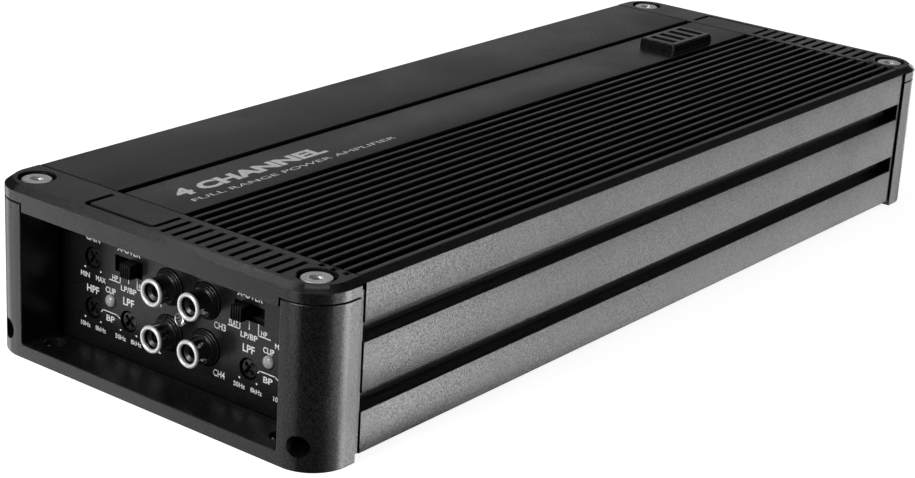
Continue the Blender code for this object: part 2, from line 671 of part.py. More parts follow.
# ---------------------------------------------------------------- control bay
def phono_sockets():
    """One moulded block behind the panel, with a collar and an insulator for each metal shell."""
    depth, width = PHONO_BLOCK
    middle = sum(PHONO_ROWS) / 2
    block = box("phono_block", (PANEL_BACK + GAP, PANEL_Y - width / 2, ON_BOARD),
                (PANEL_BACK + GAP + depth, PANEL_Y + width / 2, PHONO_ROWS[0] + PHONO_BLOCK_MARGIN),
                BLACK_PLASTIC)
    root = PANEL_BACK + PHONO_ROOT
    collar = root - PANEL_FRONT + PHONO_COLLAR_RISE
    base = root - PANEL_FRONT
    tip = base + PHONO_REACH
    pin_floor, rim = tip - PHONO_PIN_HOLE_DEPTH, tip - PHONO_INSULATOR_INSET
    core, bore = PHONO_INSULATOR_RADIUS, PHONO_PIN_HOLE_RADIUS
    outer, inner = PHONO_SHELL_RADIUS, core + GAP
    insulator = [(0.0, pin_floor), (bore, pin_floor), (bore, rim), (core, rim), (core, base),
                 (outer + GAP, base), (outer + GAP, collar), (PHONO_COLLAR_RADIUS, collar),
                 (PHONO_COLLAR_RADIUS, 0.0), (0.0, 0.0)]
    outside, inside = PHONO_RING_EDGE
    shell = [(outer - outside, tip), (outer, tip - outside), (outer, base + GAP), (inner, base + GAP),
             (inner, tip - inside), (inner + inside, tip)]
    for index, (y, z) in enumerate(phono_places(), 1):
        stub = turned(f"phono_insulator_{index}", insulator, BLACK_PLASTIC, 18)
        point_along_minus_x(stub, (root, y, z))
        join(block, stub)
        ring = turned(f"phono_shell_{index}", shell, CHROME, 18)
        point_along_minus_x(ring, (root, y, z))
    cut(block, cylinder("phono_screw_hole", PHONO_SCREW_HOLE_RADIUS, 2 * PHONO_SCREW_SHANK[1],
                        (PANEL_BACK, PANEL_Y, middle), "X", 12))
    shank, depth = PHONO_SCREW_SHANK
    profile = [*PHONO_SCREW_HEAD, (shank, GAP), (shank, -depth), (0.0, -depth)]
    screw = turned("phono_block_screw", profile, SCREW_STEEL, 16)
    point_along_minus_x(screw, (PANEL_FRONT, PANEL_Y, middle))


def trimmers():
    """Each trimmer is a square body behind the panel and a cross-slotted rotor in the panel's hole."""
    front = PANEL_FRONT + TRIMMER_ROTOR_INSET
    back = front + TRIMMER_ROTOR_LENGTH
    depth, width = TRIMMER_BODY
    well_depth = back + GAP - PANEL_BACK + OVERCUT
    for name, y, z in trimmer_places():
        body = box(f"{name}_trimmer", (PANEL_BACK + GAP, y - width / 2, z - width / 2),
                   (PANEL_BACK + GAP + depth, y + width / 2, z + width / 2), BLACK_PLASTIC)
        cut(body, cylinder(f"{name}_well", TRIMMER_HOLE_RADIUS, well_depth,
                           (back + GAP - well_depth / 2, y, z), "X", 18))
        rotor = cylinder(f"{name}_adjuster", TRIMMER_ROTOR_RADIUS, TRIMMER_ROTOR_LENGTH,
                         ((front + back) / 2, y, z), "X", 18, TRIMMER_PLASTIC)
        for arm, (across, tall) in enumerate(TRIMMER_SLOTS):
            slot = box(f"{name}_slot_{arm}", (front - OVERCUT, y - across / 2, z - tall / 2),
                       (front + TRIMMER_SLOT_DEPTH, y + across / 2, z + tall / 2))
            slot.rotation_euler = (TRIMMER_SLOT_TURN, 0.0, 0.0)
            cut(rotor, slot)


def box_about(name, x_range, y, z, width, height, finish=None):
    """A box between two x positions, centred on y and z."""
    low, high = x_range
    return box(name, (low, y - width / 2, z - height / 2), (high, y + width / 2, z + height / 2), finish)


def crossover_switches():
    """Three-position slide switches: a body behind the panel and a ribbed slider in its slot."""
    depth, width, height = SWITCH_BODY
    track_depth, *track = SWITCH_TRACK
    tongue_depth, *tongue = SLIDER_TONGUE
    front = PANEL_FRONT - SLIDER_REACH
    for side, bank in ((1, "a"), (-1, "b")):
        y = PANEL_Y + side * INNER_OFFSET
        body = box_about(f"crossover_switch_{bank}", (PANEL_BACK + GAP, PANEL_BACK + GAP + depth),
                         y, SWITCH_Z, width, height, BLACK_PLASTIC)
        cut(body, box_about(f"crossover_track_{bank}", (PANEL_BACK - OVERCUT, PANEL_BACK + track_depth),
                            y, SWITCH_Z, *track))
        y -= side * SLIDER_REST
        knob = box_about(f"crossover_slider_{bank}", (front, PANEL_BACK), y, SWITCH_Z, *SLIDER_KNOB,
                         BLACK_PLASTIC)
        join(knob, box_about(f"crossover_tongue_{bank}", (PANEL_BACK - OVERCUT, PANEL_BACK + tongue_depth),
                             y, SWITCH_Z, *tongue))
        for rib in range(SLIDER_RIB_COUNT):
            groove_y = y + (rib - (SLIDER_RIB_COUNT - 1) / 2) * SLIDER_RIB_PITCH
            cut(knob, box_about(f"crossover_rib_{bank}_{rib}", (front - OVERCUT, front + SLIDER_RIB_GROOVE),
                                groove_y, SWITCH_Z, SLIDER_RIB_GROOVE, SLIDER_KNOB[1] + 2 * OVERCUT))


def clip_lights():
    """Round-nosed indicator lenses through the panel."""
    steps = 4
    nose = [(LED_RADIUS * sin(pi / 2 * i / steps), LED_DOME * cos(pi / 2 * i / steps))
            for i in range(steps + 1)]
    back = -(PANEL_THICKNESS + LED_TAIL)
    profile = nose + [(LED_RADIUS, back), (0.0, back)]
    for side, bank in ((1, "a"), (-1, "b")):
        obj = turned(f"clip_light_{bank}", profile, LENS, 16)
        point_along_minus_x(obj, (PANEL_FRONT, PANEL_Y + side * LED_OFFSET, LED_Z))


# ---------------------------------------------------------------- terminal bay
def power_places():
    return [POWER_Y + (index - 1) * POWER_PITCH for index in range(3)]


def clamp_cage(index, y, bottom):
    """A square ring that rises on its screw and grips a cable from below."""
    length, width, height = CAGE_SIZE
    top = bottom + height
    cage = box(f"power_clamp_cage_{index}", (CLAMP_X - length / 2, y - width / 2, bottom),
               (CLAMP_X + length / 2, y + width / 2, top), BRASS)
    inner = width / 2 - CAGE_WALL
    cut(cage,
        box(f"cage_mouth_{index}", (CLAMP_X - length / 2 - OVERCUT, y - inner, bottom + CAGE_WALL),
            (CLAMP_X + length / 2 + OVERCUT, y + inner, top - CAGE_ROOF)),
        cylinder(f"cage_thread_{index}", CAGE_THREAD_RADIUS, 2 * (CAGE_ROOF + OVERCUT), (CLAMP_X, y, top),
                 sides=16))
    return cage


def clamp_screw(index, y, head_low, shank_low):
    """A slotted screw, captive in the block, that turns in place."""
    head_high = head_low + CLAMP_HEAD_HEIGHT
    head, shank = CLAMP_HEAD_RADIUS, CLAMP_SHANK_RADIUS
    profile = [(0.0, head_high), (head, head_high), (head, head_low), (shank, head_low),
               (shank, shank_low), (0.0, shank_low)]
    screw = turned(f"power_clamp_screw_{index}", profile, SCREW_STEEL, 20)
    screw.location = (CLAMP_X, y, 0.0)
    width, depth = CLAMP_SLOT
    reach = head + OVERCUT
    cut(screw, box(f"clamp_screw_slot_{index}", (CLAMP_X - reach, y - width / 2, head_high - depth),
                   (CLAMP_X + reach, y + width / 2, head_high + OVERCUT)))
    return screw


def power_terminals():
    """Three rising-cage clamps in one block."""
    depth, width, height = POWER_BLOCK
    bottom = ON_BOARD
    block = box("power_terminal_block", (POWER_FRONT - depth, POWER_Y - width / 2, bottom),
                (POWER_FRONT, POWER_Y + width / 2, bottom + height), BLACK_PLASTIC)
    well_bottom, well_top = bottom + WELL_Z[0], bottom + WELL_Z[1]
    shelf_top = well_top + SHELF
    reach = CAGE_SIZE[1] / 2 + GAP
    for index, y in enumerate(power_places(), 1):
        cut(block,
            box(f"power_well_{index}", (CLAMP_X - WELL_BEHIND, y - reach, well_bottom),
                (POWER_FRONT + OVERCUT, y + reach, well_top)),
            cylinder(f"power_shank_hole_{index}", CAGE_THREAD_RADIUS, 2 * (SHELF + OVERCUT),
                     (CLAMP_X, y, well_top), sides=16),
            cylinder(f"power_head_hole_{index}", CLAMP_HEAD_HOLE_RADIUS, 2 * (bottom + height - shelf_top),
                     (CLAMP_X, y, bottom + height), sides=20))
        cage_bottom = well_bottom + GAP
        clamp_cage(index, y, cage_bottom)
        clamp_screw(index, y, shelf_top + GAP, cage_bottom + CAGE_SIZE[2] - CLAMP_SHANK_ENTRY)


def speaker_socket():
    """Shrouded eight-way socket that the speaker harness plugs into."""
    depth, width, height = SPEAKER_SOCKET
    bottom, wall, floor = ON_BOARD, SPEAKER_WALL, SPEAKER_FRONT - SPEAKER_CAVITY
    shroud = box("speaker_socket", (SPEAKER_FRONT - depth, SPEAKER_Y - width / 2, bottom),
                 (SPEAKER_FRONT, SPEAKER_Y + width / 2, bottom + height), BLACK_PLASTIC)
    cut(shroud, box("speaker_cavity", (floor, SPEAKER_Y - width / 2 + wall, bottom + wall),
                    (SPEAKER_FRONT + OVERCUT, SPEAKER_Y + width / 2 - wall, bottom + height - wall)))
    across, up = SPEAKER_PIN_PITCH
    for row in range(SPEAKER_PIN_ROWS):
        for column in range(SPEAKER_PIN_COLUMNS):
            y = SPEAKER_Y + (column - (SPEAKER_PIN_COLUMNS - 1) / 2) * across
            z = bottom + height / 2 + (row - (SPEAKER_PIN_ROWS - 1) / 2) * up
            pin = box_about(f"speaker_pin_{row}_{column}", (floor - OVERCUT, floor + SPEAKER_PIN_LENGTH),
                            y, z, SPEAKER_PIN_SIZE, SPEAKER_PIN_SIZE)
            join(shroud, pin)


# ---------------------------------------------------------------- inside
def ring_coil(name, place, major_segments, minor_segments):
    """A wound ring lying on the board."""
    x, y, radius, winding = place
    bpy.ops.mesh.primitive_torus_add(major_segments=major_segments, minor_segments=minor_segments,
                                     major_radius=radius, minor_radius=winding,
                                     location=(x, y, ON_BOARD + winding))
    shade_round(adopt(bpy.context.object, name, COPPER))


def board_with_parts():
    """The main board slides in the extrusion's slots and carries the power supply and channels."""
    half_length, half_width = BODY_HALF_LENGTH - BOARD_END_GAP, BOARD_SLOT_HALF_WIDTH - GAP
    box("main_board", (-half_length, -half_width, BOARD_BOTTOM), (half_length, half_width, BOARD_TOP), BOARD)
    ring_coil("toroid_transformer", TRANSFORMER, 20, 10)
    ring_coil("output_choke", CHOKE, 16, 8)
    radius, height, edge = CAPACITOR_RADIUS, CAPACITOR_HEIGHT, CAPACITOR_EDGE
    can = [(0.0, height), (radius - edge, height), (radius, height - edge), (radius, 0.0), (0.0, 0.0)]
    for index, side in enumerate((-1, 1), 1):
        obj = turned(f"bulk_capacitor_{index}", can, CAPACITOR, 20)
        obj.location = (CAPACITOR_X, side * CAPACITOR_Y, ON_BOARD)


def output_stage():
    """Power transistors stand against the side walls, each pair under a clamp bar."""
    wall = CAVITY_HALF_WIDTH - GAP
    length, thickness, height = TRANSISTOR
    low = ON_BOARD + TRANSISTOR_LIFT
    for side, hand in ((-1, "right"), (1, "left")):
        near, far = sorted((side * wall, side * (wall - thickness)))
        for index, x in enumerate(TRANSISTOR_X, 1):
            box(f"power_transistor_{hand}_{index}", (x - length / 2, near, low),
                (x + length / 2, far, low + height), BLACK_PLASTIC)
        inner = wall - thickness - GAP
        near, far = sorted((side * inner, side * (inner - CLAMP_BAR_THICKNESS)))
        bar = box(f"transistor_clamp_{hand}", (CLAMP_BAR_X[0], near, low + CLAMP_BAR_RISE[0]),
                  (CLAMP_BAR_X[1], far, low + CLAMP_BAR_RISE[1]), ZINC)
        modifier(bar, "BEVEL", "edges", width=CLAMP_BAR_EDGE, segments=1)


def build():
    heatsink_body()
    bottom_plate()
    bottom_screws()
    cap_frame("control_cap_frame", -1)
    cap_lid("control_cap_lid", -1)
    cap_frame("terminal_cap_frame", 1)
    cap_lid("terminal_cap_lid", 1)
    cap_screws()
    badge()
    control_panel()
    terminal_panel()
    phono_sockets()
    trimmers()
    crossover_switches()
    clip_lights()
    power_terminals()
    speaker_socket()
    board_with_parts()
    output_stage()


build()
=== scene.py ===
"""Looks of the four-channel car amplifier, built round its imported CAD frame.

Lengths are in millimetres while a piece is modelled; settle() scales it to metres.
The control bay faces -X, the terminal bay faces +X, the fins are on the -Y side of the top.
"""

from math import cos, pi, radians, sin, tan

import bmesh
import bpy
from mathutils import Matrix, Vector


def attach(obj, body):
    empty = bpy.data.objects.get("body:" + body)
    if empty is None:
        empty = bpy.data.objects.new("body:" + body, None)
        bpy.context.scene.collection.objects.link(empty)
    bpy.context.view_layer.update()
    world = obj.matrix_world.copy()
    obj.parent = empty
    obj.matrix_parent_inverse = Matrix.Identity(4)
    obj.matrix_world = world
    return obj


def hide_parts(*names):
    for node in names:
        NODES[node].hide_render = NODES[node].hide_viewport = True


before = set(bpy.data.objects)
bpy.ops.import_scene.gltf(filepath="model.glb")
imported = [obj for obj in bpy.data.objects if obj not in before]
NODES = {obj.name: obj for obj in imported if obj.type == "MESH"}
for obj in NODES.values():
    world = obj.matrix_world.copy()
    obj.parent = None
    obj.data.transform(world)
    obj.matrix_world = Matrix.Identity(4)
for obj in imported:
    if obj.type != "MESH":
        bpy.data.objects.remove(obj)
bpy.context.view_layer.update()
MM = 0.001

# ------------------------------------------------------------------ sizes shared with the CAD, mm
LENGTH = 320.8
CAP_HALF_WIDTH = 61.0
HEIGHT = 50.0
CAP_FRONT = -LENGTH / 2
CAP_BACK = CAP_FRONT + 15.36
CAP_CORNER = 11.5
BODY_HALF_LENGTH = 143.07
BODY_HALF_WIDTH = 60.63
BODY_BOTTOM = 1.73
FIN_PITCH = 4.05
FIN_WIDTH = 1.4
FIRST_FIN_Y = -0.8
FIN_FLOOR = 44.5
BAND = (2.7, 25.5)
PANEL_EDGE = 28.2
SIDE_GROOVES = ((13.6, 18.55), (32.6, 37.8))
SIDE_GROOVE_FLOOR = 55.6
WINDOW = 47.6
FLOOR_TOP = 4.17
POST_TOP = 45.3
SEAM = 45.6
RAIL_BOTTOM = 43.0
RAIL_DEPTH = 6.0
RAIL_HALF_WIDTH = 47.1
SCREW_X = CAP_FRONT + 9.3
SLOT_X = CAP_FRONT + 3.7 + 5.35
SCREW_Y = 51.25
LID_BACK = -143.57
PANEL_FRONT = -144.77
PANEL_BACK = PANEL_FRONT + 1.4
PANEL_Y = -0.7
INNER, OUTER, LED_AT = 22.45, 36.5, 29.5
UPPER_Z, LOWER_Z, LED_Z, SWITCH_Z = 28.9, 14.1, 18.2, 30.1
PHONO_AT = 6.9
PHONO_ROWS = (28.85, 15.5)
ON_BOARD = 9.3
BANKS = ((1, "a"), (-1, "b"))


# ------------------------------------------------------------------ meshes
def shown(name, bm):
    """Turns a bmesh into an object."""
    bmesh.ops.recalc_face_normals(bm, faces=bm.faces)
    mesh = bpy.data.meshes.new(name)
    bm.to_mesh(mesh)
    bm.free()
    obj = bpy.data.objects.new(name, mesh)
    bpy.context.scene.collection.objects.link(obj)
    return obj


def baked(obj):
    """Applies an object's modifiers."""
    graph = bpy.context.evaluated_depsgraph_get()
    mesh = bpy.data.meshes.new_from_object(obj.evaluated_get(graph))
    obj.modifiers.clear()
    old = obj.data
    obj.data = mesh
    bpy.data.meshes.remove(old)
    return obj


def modify(obj, kind, **values):
    made = obj.modifiers.new(kind, kind)
    for key, value in values.items():
        setattr(made, key, value)
    return baked(obj)


def soften(obj, width, segments=2, angle=30):
    return modify(obj, "BEVEL", width=width, segments=segments, limit_method="ANGLE",
                  angle_limit=radians(angle), miter_outer="MITER_ARC")


def cut(obj, *tools):
    for tool in tools:
        modify(obj, "BOOLEAN", operation="DIFFERENCE", object=tool, solver="EXACT")
        bpy.data.objects.remove(tool)
    return obj


def soften_where(obj, width, segments, chosen, angle=30):
    """Rounds the sharp edges whose ends both satisfy a test."""
    bm = bmesh.new()
    bm.from_mesh(obj.data)
    edges = [e for e in bm.edges if len(e.link_faces) == 2 and e.calc_face_angle(0) > radians(angle)
             and all(chosen(v.co) for v in e.verts)]
    bmesh.ops.bevel(bm, geom=edges, offset=width, segments=segments, profile=0.5, affect="EDGES",
                    clamp_overlap=True, miter_outer="ARC")
    bm.to_mesh(obj.data)
    bm.free()
    return obj


def loft(name, rings):
    """A closed solid through rings of the same number of points."""
    bm = bmesh.new()
    loops = [[bm.verts.new(p) for p in ring] for ring in rings]
    count = len(loops[0])
    for a, b in zip(loops, loops[1:]):
        for i in range(count):
            j = (i + 1) % count
            bm.faces.new((a[i], a[j], b[j], b[i]))
    bm.faces.new(loops[0])
    bm.faces.new(loops[-1])
    return shown(name, bm)


def prism(name, outline, low, high, axis="Z"):
    """An outline swept along an axis. Along X the outline is (y, z), along Z it is (x, y)."""
    def place(a, b, c):
        return (a, b, c) if axis == "Z" else (c, a, b)
    return loft(name, [[place(a, b, c) for a, b in outline] for c in (low, high)])


def block(name, low, high):
    (x0, y0, z0), (x1, y1, z1) = low, high
    return prism(name, [(x0, y0), (x1, y0), (x1, y1), (x0, y1)], z0, z1)


def turned(name, profile, axis="Z", at=(0, 0, 0), sides=48, phase=0.0):
    """A turned solid. The profile is (radius, height) pairs; an open end at radius 0 closes on the axis."""
    bm = bmesh.new()
    rings = []
    for radius, height in profile:
        if radius <= 1e-6:
            rings.append([bm.verts.new((0, 0, height))])
        else:
            rings.append([bm.verts.new((radius * cos(phase + 2 * pi * i / sides),
                                        radius * sin(phase + 2 * pi * i / sides), height))
                          for i in range(sides)])
    closed = profile[0][0] > 1e-6 and profile[-1][0] > 1e-6
    pairs = list(zip(rings, rings[1:])) + ([(rings[-1], rings[0])] if closed else [])
    for a, b in pairs:
        for i in range(sides):
            j = (i + 1) % sides
            if len(a) > 1 and len(b) > 1:
                bm.faces.new((a[i], a[j], b[j], b[i]))
            elif len(a) > 1:
                bm.faces.new((a[i], a[j], b[0]))
            elif len(b) > 1:
                bm.faces.new((a[0], b[j], b[i]))
    turn = {"Z": Matrix.Identity(4), "-X": Matrix.Rotation(-pi / 2, 4, "Y"),
            "X": Matrix.Rotation(pi / 2, 4, "Y")}[axis]
    bm.transform(Matrix.Translation(at) @ turn)
    return shown(name, bm)


def rounded(points, radius, steps=3):
    """Rounds every corner of an outline; radius may be one number or one for each corner."""
    radii = radius if isinstance(radius, (list, tuple)) else [radius] * len(points)
    made = []
    count = len(points)
    for i, (point, r) in enumerate(zip(points, radii)):
        here, before, after = Vector(point), Vector(points[i - 1]), Vector(points[(i + 1) % count])
        if r <= 0:
            made.append(tuple(here))
            continue
        a, b = (before - here).normalized(), (after - here).normalized()
        half = a.angle(b) / 2
        reach = min(r / tan(half), 0.45 * (before - here).length, 0.45 * (after - here).length)
        r = reach * tan(half)
        centre = here + (a + b).normalized() * (r / sin(half))
        start, end = here + a * reach - centre, here + b * reach - centre
        for s in range(steps + 1):
            t = s / steps
            swing = start.angle(end)
            mixed = (start * sin((1 - t) * swing) + end * sin(t * swing)) / sin(swing)
            made.append(tuple(centre + mixed))
    return made


def rectangle(y, z, width, height):
    return [(y - width / 2, z - height / 2), (y + width / 2, z - height / 2),
            (y + width / 2, z + height / 2), (y - width / 2, z + height / 2)]


def circle(y, z, radius, sides=64):
    return [(y + radius * cos(2 * pi * i / sides), z + radius * sin(2 * pi * i / sides)) for i in range(sides)]


def sheet(name, outlines, low, high):
    """A plate across X with holes: the first outline is its edge, the others are holes, all (y, z)."""
    curve = bpy.data.curves.new(name, "CURVE")
    curve.dimensions = "2D"
    curve.fill_mode = "BOTH"
    curve.extrude = (high - low) / 2
    for outline in outlines:
        spline = curve.splines.new("POLY")
        spline.points.add(len(outline) - 1)
        for point, (y, z) in zip(spline.points, outline):
            point.co = (y, z, 0.0, 1.0)
        spline.use_cyclic_u = True
    return from_curve(name, curve, Matrix(((0, 0, 1, (low + high) / 2), (1, 0, 0, 0), (0, 1, 0, 0), (0, 0, 0, 1))))


def from_curve(name, curve, place):
    drawn = bpy.data.objects.new(name, curve)
    bpy.context.scene.collection.objects.link(drawn)
    graph = bpy.context.evaluated_depsgraph_get()
    mesh = bpy.data.meshes.new_from_object(drawn.evaluated_get(graph))
    bpy.data.objects.remove(drawn)
    bm = bmesh.new()
    bm.from_mesh(mesh)
    bmesh.ops.remove_doubles(bm, verts=bm.verts, dist=1e-5)
    bm.transform(place)
    bpy.data.meshes.remove(mesh)
    return shown(name, bm)


def joined(name, objects):
    """Several solids as one mesh."""
    bm = bmesh.new()
    for obj in objects:
        bm.from_mesh(obj.data)
        bpy.data.objects.remove(obj)
    return shown(name, bm)


def half_turn(obj, end):
    """Turns a piece modelled at the control end round to the terminal end when end is 1."""
    if end > 0:
        obj.data.transform(Matrix.Diagonal((-1.0, -1.0, 1.0, 1.0)))
    return obj


def settle(obj, body, look, slot, *nodes, sharp=38, weighted=True):
    """Shades a finished piece, scales it to metres and lets it ride on its body."""
    obj.data.shade_smooth()
    obj.data.set_sharp_from_angle(angle=radians(sharp))
    if weighted:
        modify(obj, "WEIGHTED_NORMAL", mode="FACE_AREA", keep_sharp=True, weight=60)
    obj.data.transform(Matrix.Scale(MM, 4))
    obj.data.materials.clear()
    obj.data.materials.append(look)
    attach(obj, body)
    if nodes:
        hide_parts(*nodes)
    return obj


# ------------------------------------------------------------------ looks
class Look:
    """A Principled material with its node tree at hand."""

    def __init__(self, name):
        self.material = bpy.data.materials.new(name)
        self.material.use_nodes = True
        self.tree = self.material.node_tree
        self.shader = self.tree.nodes["Principled BSDF"]
        self.place = self.node("ShaderNodeTexCoord").outputs["Object"]

    def node(self, kind, **inputs):
        made = self.tree.nodes.new(kind)
        for key, value in inputs.items():
            made.inputs[key].default_value = value
        return made

    def link(self, a, b):
        self.tree.links.new(a, b)

    def noise(self, scale, detail=2.0, rough=0.5, stretch=None):
        made = self.node("ShaderNodeTexNoise", Scale=scale, Detail=detail, Roughness=rough)
        place = self.place
        if stretch:
            mapped = self.node("ShaderNodeMapping")
            mapped.inputs["Scale"].default_value = stretch
            self.link(place, mapped.inputs["Vector"])
            place = mapped.outputs["Vector"]
        self.link(place, made.inputs["Vector"])
        return made.outputs["Fac"]

    def ramp(self, value, low, high, a, b):
        """Maps a value from low..high to a..b, held at both ends."""
        made = self.node("ShaderNodeMapRange")
        made.inputs["From Min"].default_value = low
        made.inputs["From Max"].default_value = high
        made.inputs["To Min"].default_value = a
        made.inputs["To Max"].default_value = b
        self.link(value, made.inputs["Value"])
        return made.outputs["Result"]

    def tint(self, value, dark, light):
        made = self.node("ShaderNodeMix")
        made.data_type = "RGBA"
        made.inputs[6].default_value = (*dark, 1.0)
        made.inputs[7].default_value = (*light, 1.0)
        self.link(value, made.inputs["Factor"])
        self.link(made.outputs[2], self.shader.inputs["Base Color"])

    def bump(self, value, distance, strength=1.0):
        made = self.node("ShaderNodeBump", Strength=strength, Distance=distance)
        self.link(value, made.inputs["Height"])
        self.link(made.outputs["Normal"], self.shader.inputs["Normal"])

    def set(self, **inputs):
        names = {"metallic": "Metallic", "roughness": "Roughness", "ior": "IOR", "coat": "Coat Weight",
                 "coat_rough": "Coat Roughness", "specular": "Specular IOR Level", "transmission": "Transmission Weight",
                 "subsurface": "Subsurface Weight"}
        for key, value in inputs.items():
            self.shader.inputs[names[key]].default_value = value


def grained(name, dark, light, rough, metallic=0.0, grain=2300.0, bump=0.00002, streak=None, specular=0.5,
            contrast=(0.40, 0.62), wear=0.06, sparkle=0.55):
    """A painted, anodised or moulded surface: fine grain in its colour and height, slow change in its gloss."""
    look = Look(name)
    fine = look.noise(grain, 2.0, 0.6, streak)
    look.tint(look.ramp(fine, *contrast, 0.0, 1.0), dark, light)
    slow = look.noise(26.0, 3.0)
    look.link(look.ramp(slow, 0.35, 0.65, rough - wear, rough + wear), look.shader.inputs["Roughness"])
    look.link(look.ramp(fine, 0.30, 0.70, specular * (1 - sparkle), specular * (1 + sparkle)), look.shader.inputs["Specular IOR Level"])
    look.bump(fine, bump)
    look.set(metallic=metallic)
    return look.material


def metal(name, colour, dull, rough, brushed=None, bump=0.000004, wear=0.05, metallic=1.0):
    """Bare or plated metal with fine marks."""
    look = Look(name)
    marks = look.noise(1400.0, 3.0, 0.6, brushed)
    look.tint(look.ramp(marks, 0.3, 0.7, 0.0, 1.0), dull, colour)
    slow = look.noise(160.0, 2.0)
    look.link(look.ramp(slow, 0.35, 0.65, rough - wear, rough + wear), look.shader.inputs["Roughness"])
    look.bump(marks, bump)
    look.set(metallic=metallic)
    return look.material


ANODISED = grained("anodised_body", (0.003, 0.003, 0.003), (0.017, 0.017, 0.017), 0.29, 0.0, 2500.0, 0.000034, sparkle=0.46)
CAST = grained("cast_cap", (0.002, 0.002, 0.002), (0.013, 0.013, 0.013), 0.28, 0.0, 2300.0, 0.000042, sparkle=0.32)
PANEL = grained("panel_paint", (0.004, 0.004, 0.005), (0.009, 0.009, 0.010), 0.28, 0.0, 2200.0, 0.000010, specular=0.4, sparkle=0.2)
SCREW = metal("bright_steel", (0.86, 0.86, 0.85), (0.62, 0.62, 0.62), 0.26)
# Lid screws: a lighter, partly white-diffuse copy of the bright steel, so their heads carry painted light.
LID_SCREW_PAINTED_LIGHT = metal("bright_steel_painted_light", (0.90, 0.90, 0.88), (0.66, 0.66, 0.65), 0.27, None, 0.000003, 0.05, 0.72)
CHROME = metal("jack_chrome", (0.50, 0.50, 0.51), (0.42, 0.42, 0.43), 0.07, None, 0.000001, 0.02)
# Jack lip: the same plating as the chrome barrel, given a near-white, half diffuse colour as a painted highlight.
LIP_PAINTED_HIGHLIGHT = metal("jack_lip_painted_highlight", (0.97, 0.97, 0.97), (0.90, 0.90, 0.90), 0.30, None, 0.000001, 0.03, 0.45)
ZINC = metal("zinc_steel", (0.62, 0.62, 0.60), (0.42, 0.42, 0.41), 0.38)
BRASS = metal("brass", (0.78, 0.60, 0.30), (0.58, 0.42, 0.18), 0.30)
BLACK = grained("black_plastic", (0.007, 0.007, 0.007), (0.014, 0.014, 0.015), 0.30, 0.0, 1500.0, 0.000010)
SATIN = grained("slider_plastic", (0.003, 0.003, 0.003), (0.007, 0.007, 0.007), 0.45, 0.0, 1500.0, 0.000020, specular=0.25)
TRIMMER = grained("trimmer_plastic", (0.007, 0.007, 0.008), (0.015, 0.015, 0.017), 0.24, 0.0, 1800.0, 0.000008)
GLOSS = grained("badge_gloss", (0.006, 0.006, 0.006), (0.010, 0.010, 0.010), 0.12, 0.0, 900.0, 0.000003, specular=0.32, wear=0.03)
INK = grained("legend_ink", (0.78, 0.78, 0.78), (0.90, 0.90, 0.90), 0.45, 0.0, 3200.0, 0.000004)
BOARD = grained("board_green", (0.008, 0.075, 0.030), (0.014, 0.125, 0.050), 0.40, 0.0, 400.0, 0.000020)
COPPER = metal("copper_winding", (0.72, 0.33, 0.16), (0.42, 0.16, 0.07), 0.34, (1.0, 1.0, 9.0), 0.00004)
SLEEVE = grained("capacitor_sleeve", (0.012, 0.014, 0.032), (0.020, 0.023, 0.050), 0.28, 0.0, 700.0, 0.000010)


def lens_look():
    look = Look("clear_lens")
    cloud = look.noise(900.0, 2.0)
    look.tint(look.ramp(cloud, 0.3, 0.7, 0.0, 1.0), (0.32, 0.32, 0.31), (0.48, 0.48, 0.47))
    look.bump(cloud, 0.000006)
    look.set(roughness=0.22, subsurface=0.25)
    look.shader.inputs["Subsurface Radius"].default_value = (0.001, 0.001, 0.001)
    return look.material


LENS = lens_look()


# ------------------------------------------------------------------ chassis
def heatsink():
    half, top = BODY_HALF_WIDTH, HEIGHT
    side, side_r = [], []

    def add(points, radii):
        side.extend(points)
        side_r.extend(radii)

    add([(57.4, BODY_BOTTOM), (half, BODY_BOTTOM)], [0.0, 0.4])
    for low, high in SIDE_GROOVES:
        add([(half, low), (SIDE_GROOVE_FLOOR, low), (SIDE_GROOVE_FLOOR, high), (half, high)], [0.3, 0.3, 0.3, 0.3])
    add([(half, top - 1.4), (half - 2.1, top)], [0.35, 0.3])
    fins, fins_r = [], []
    edges = [FIRST_FIN_Y - FIN_PITCH * i for i in range(15)][::-1]
    walls = [(a + FIN_WIDTH / 2, b - FIN_WIDTH / 2) for a, b in zip(edges, edges[1:])]
    walls += [(FIRST_FIN_Y + FIN_WIDTH / 2, BAND[0]), (BAND[1], PANEL_EDGE)]
    for left, right in walls:
        fins += [(left, top), (left, FIN_FLOOR), (right, FIN_FLOOR), (right, top)]
        fins_r += [0.2, 0.2, 0.2, 0.2]
    inside = [(57.4, 4.9), (51.0, 4.9), (51.0, 7.1), (52.0, 7.1), (52.0, 9.3), (51.0, 9.3), (51.0, 40.5)]
    outline = [(-y, z) for y, z in side] + fins + side[::-1] + inside + [(-y, z) for y, z in inside[::-1]]
    radii = side_r + fins_r + side_r[::-1] + [0.0] * (2 * len(inside))
    body = prism("heatsink", rounded(outline, radii, 3), -BODY_HALF_LENGTH, BODY_HALF_LENGTH, "X")
    soften_where(body, 0.22, 1, lambda p: p.z > top - 0.33 and abs(p.x) > BODY_HALF_LENGTH - 0.01, 60)
    return settle(body, "chassis", ANODISED, "anodised_body", "heatsink_body", sharp=32, weighted=False)


def cap_outline(back=CAP_BACK, inset=0.0, steps=26):
    """Plan of a cap at the control end; an inset draws in all but its back."""
    cx, cy, radius = CAP_FRONT + CAP_CORNER, CAP_HALF_WIDTH - CAP_CORNER, CAP_CORNER - inset
    corner = [(cx - radius * sin(pi / 2 * i / steps), cy + radius * cos(pi / 2 * i / steps))
              for i in range(steps + 1)]
    left = [(back, CAP_HALF_WIDTH - inset)] + corner
    return left + [(x, -y) for x, y in reversed(left)]


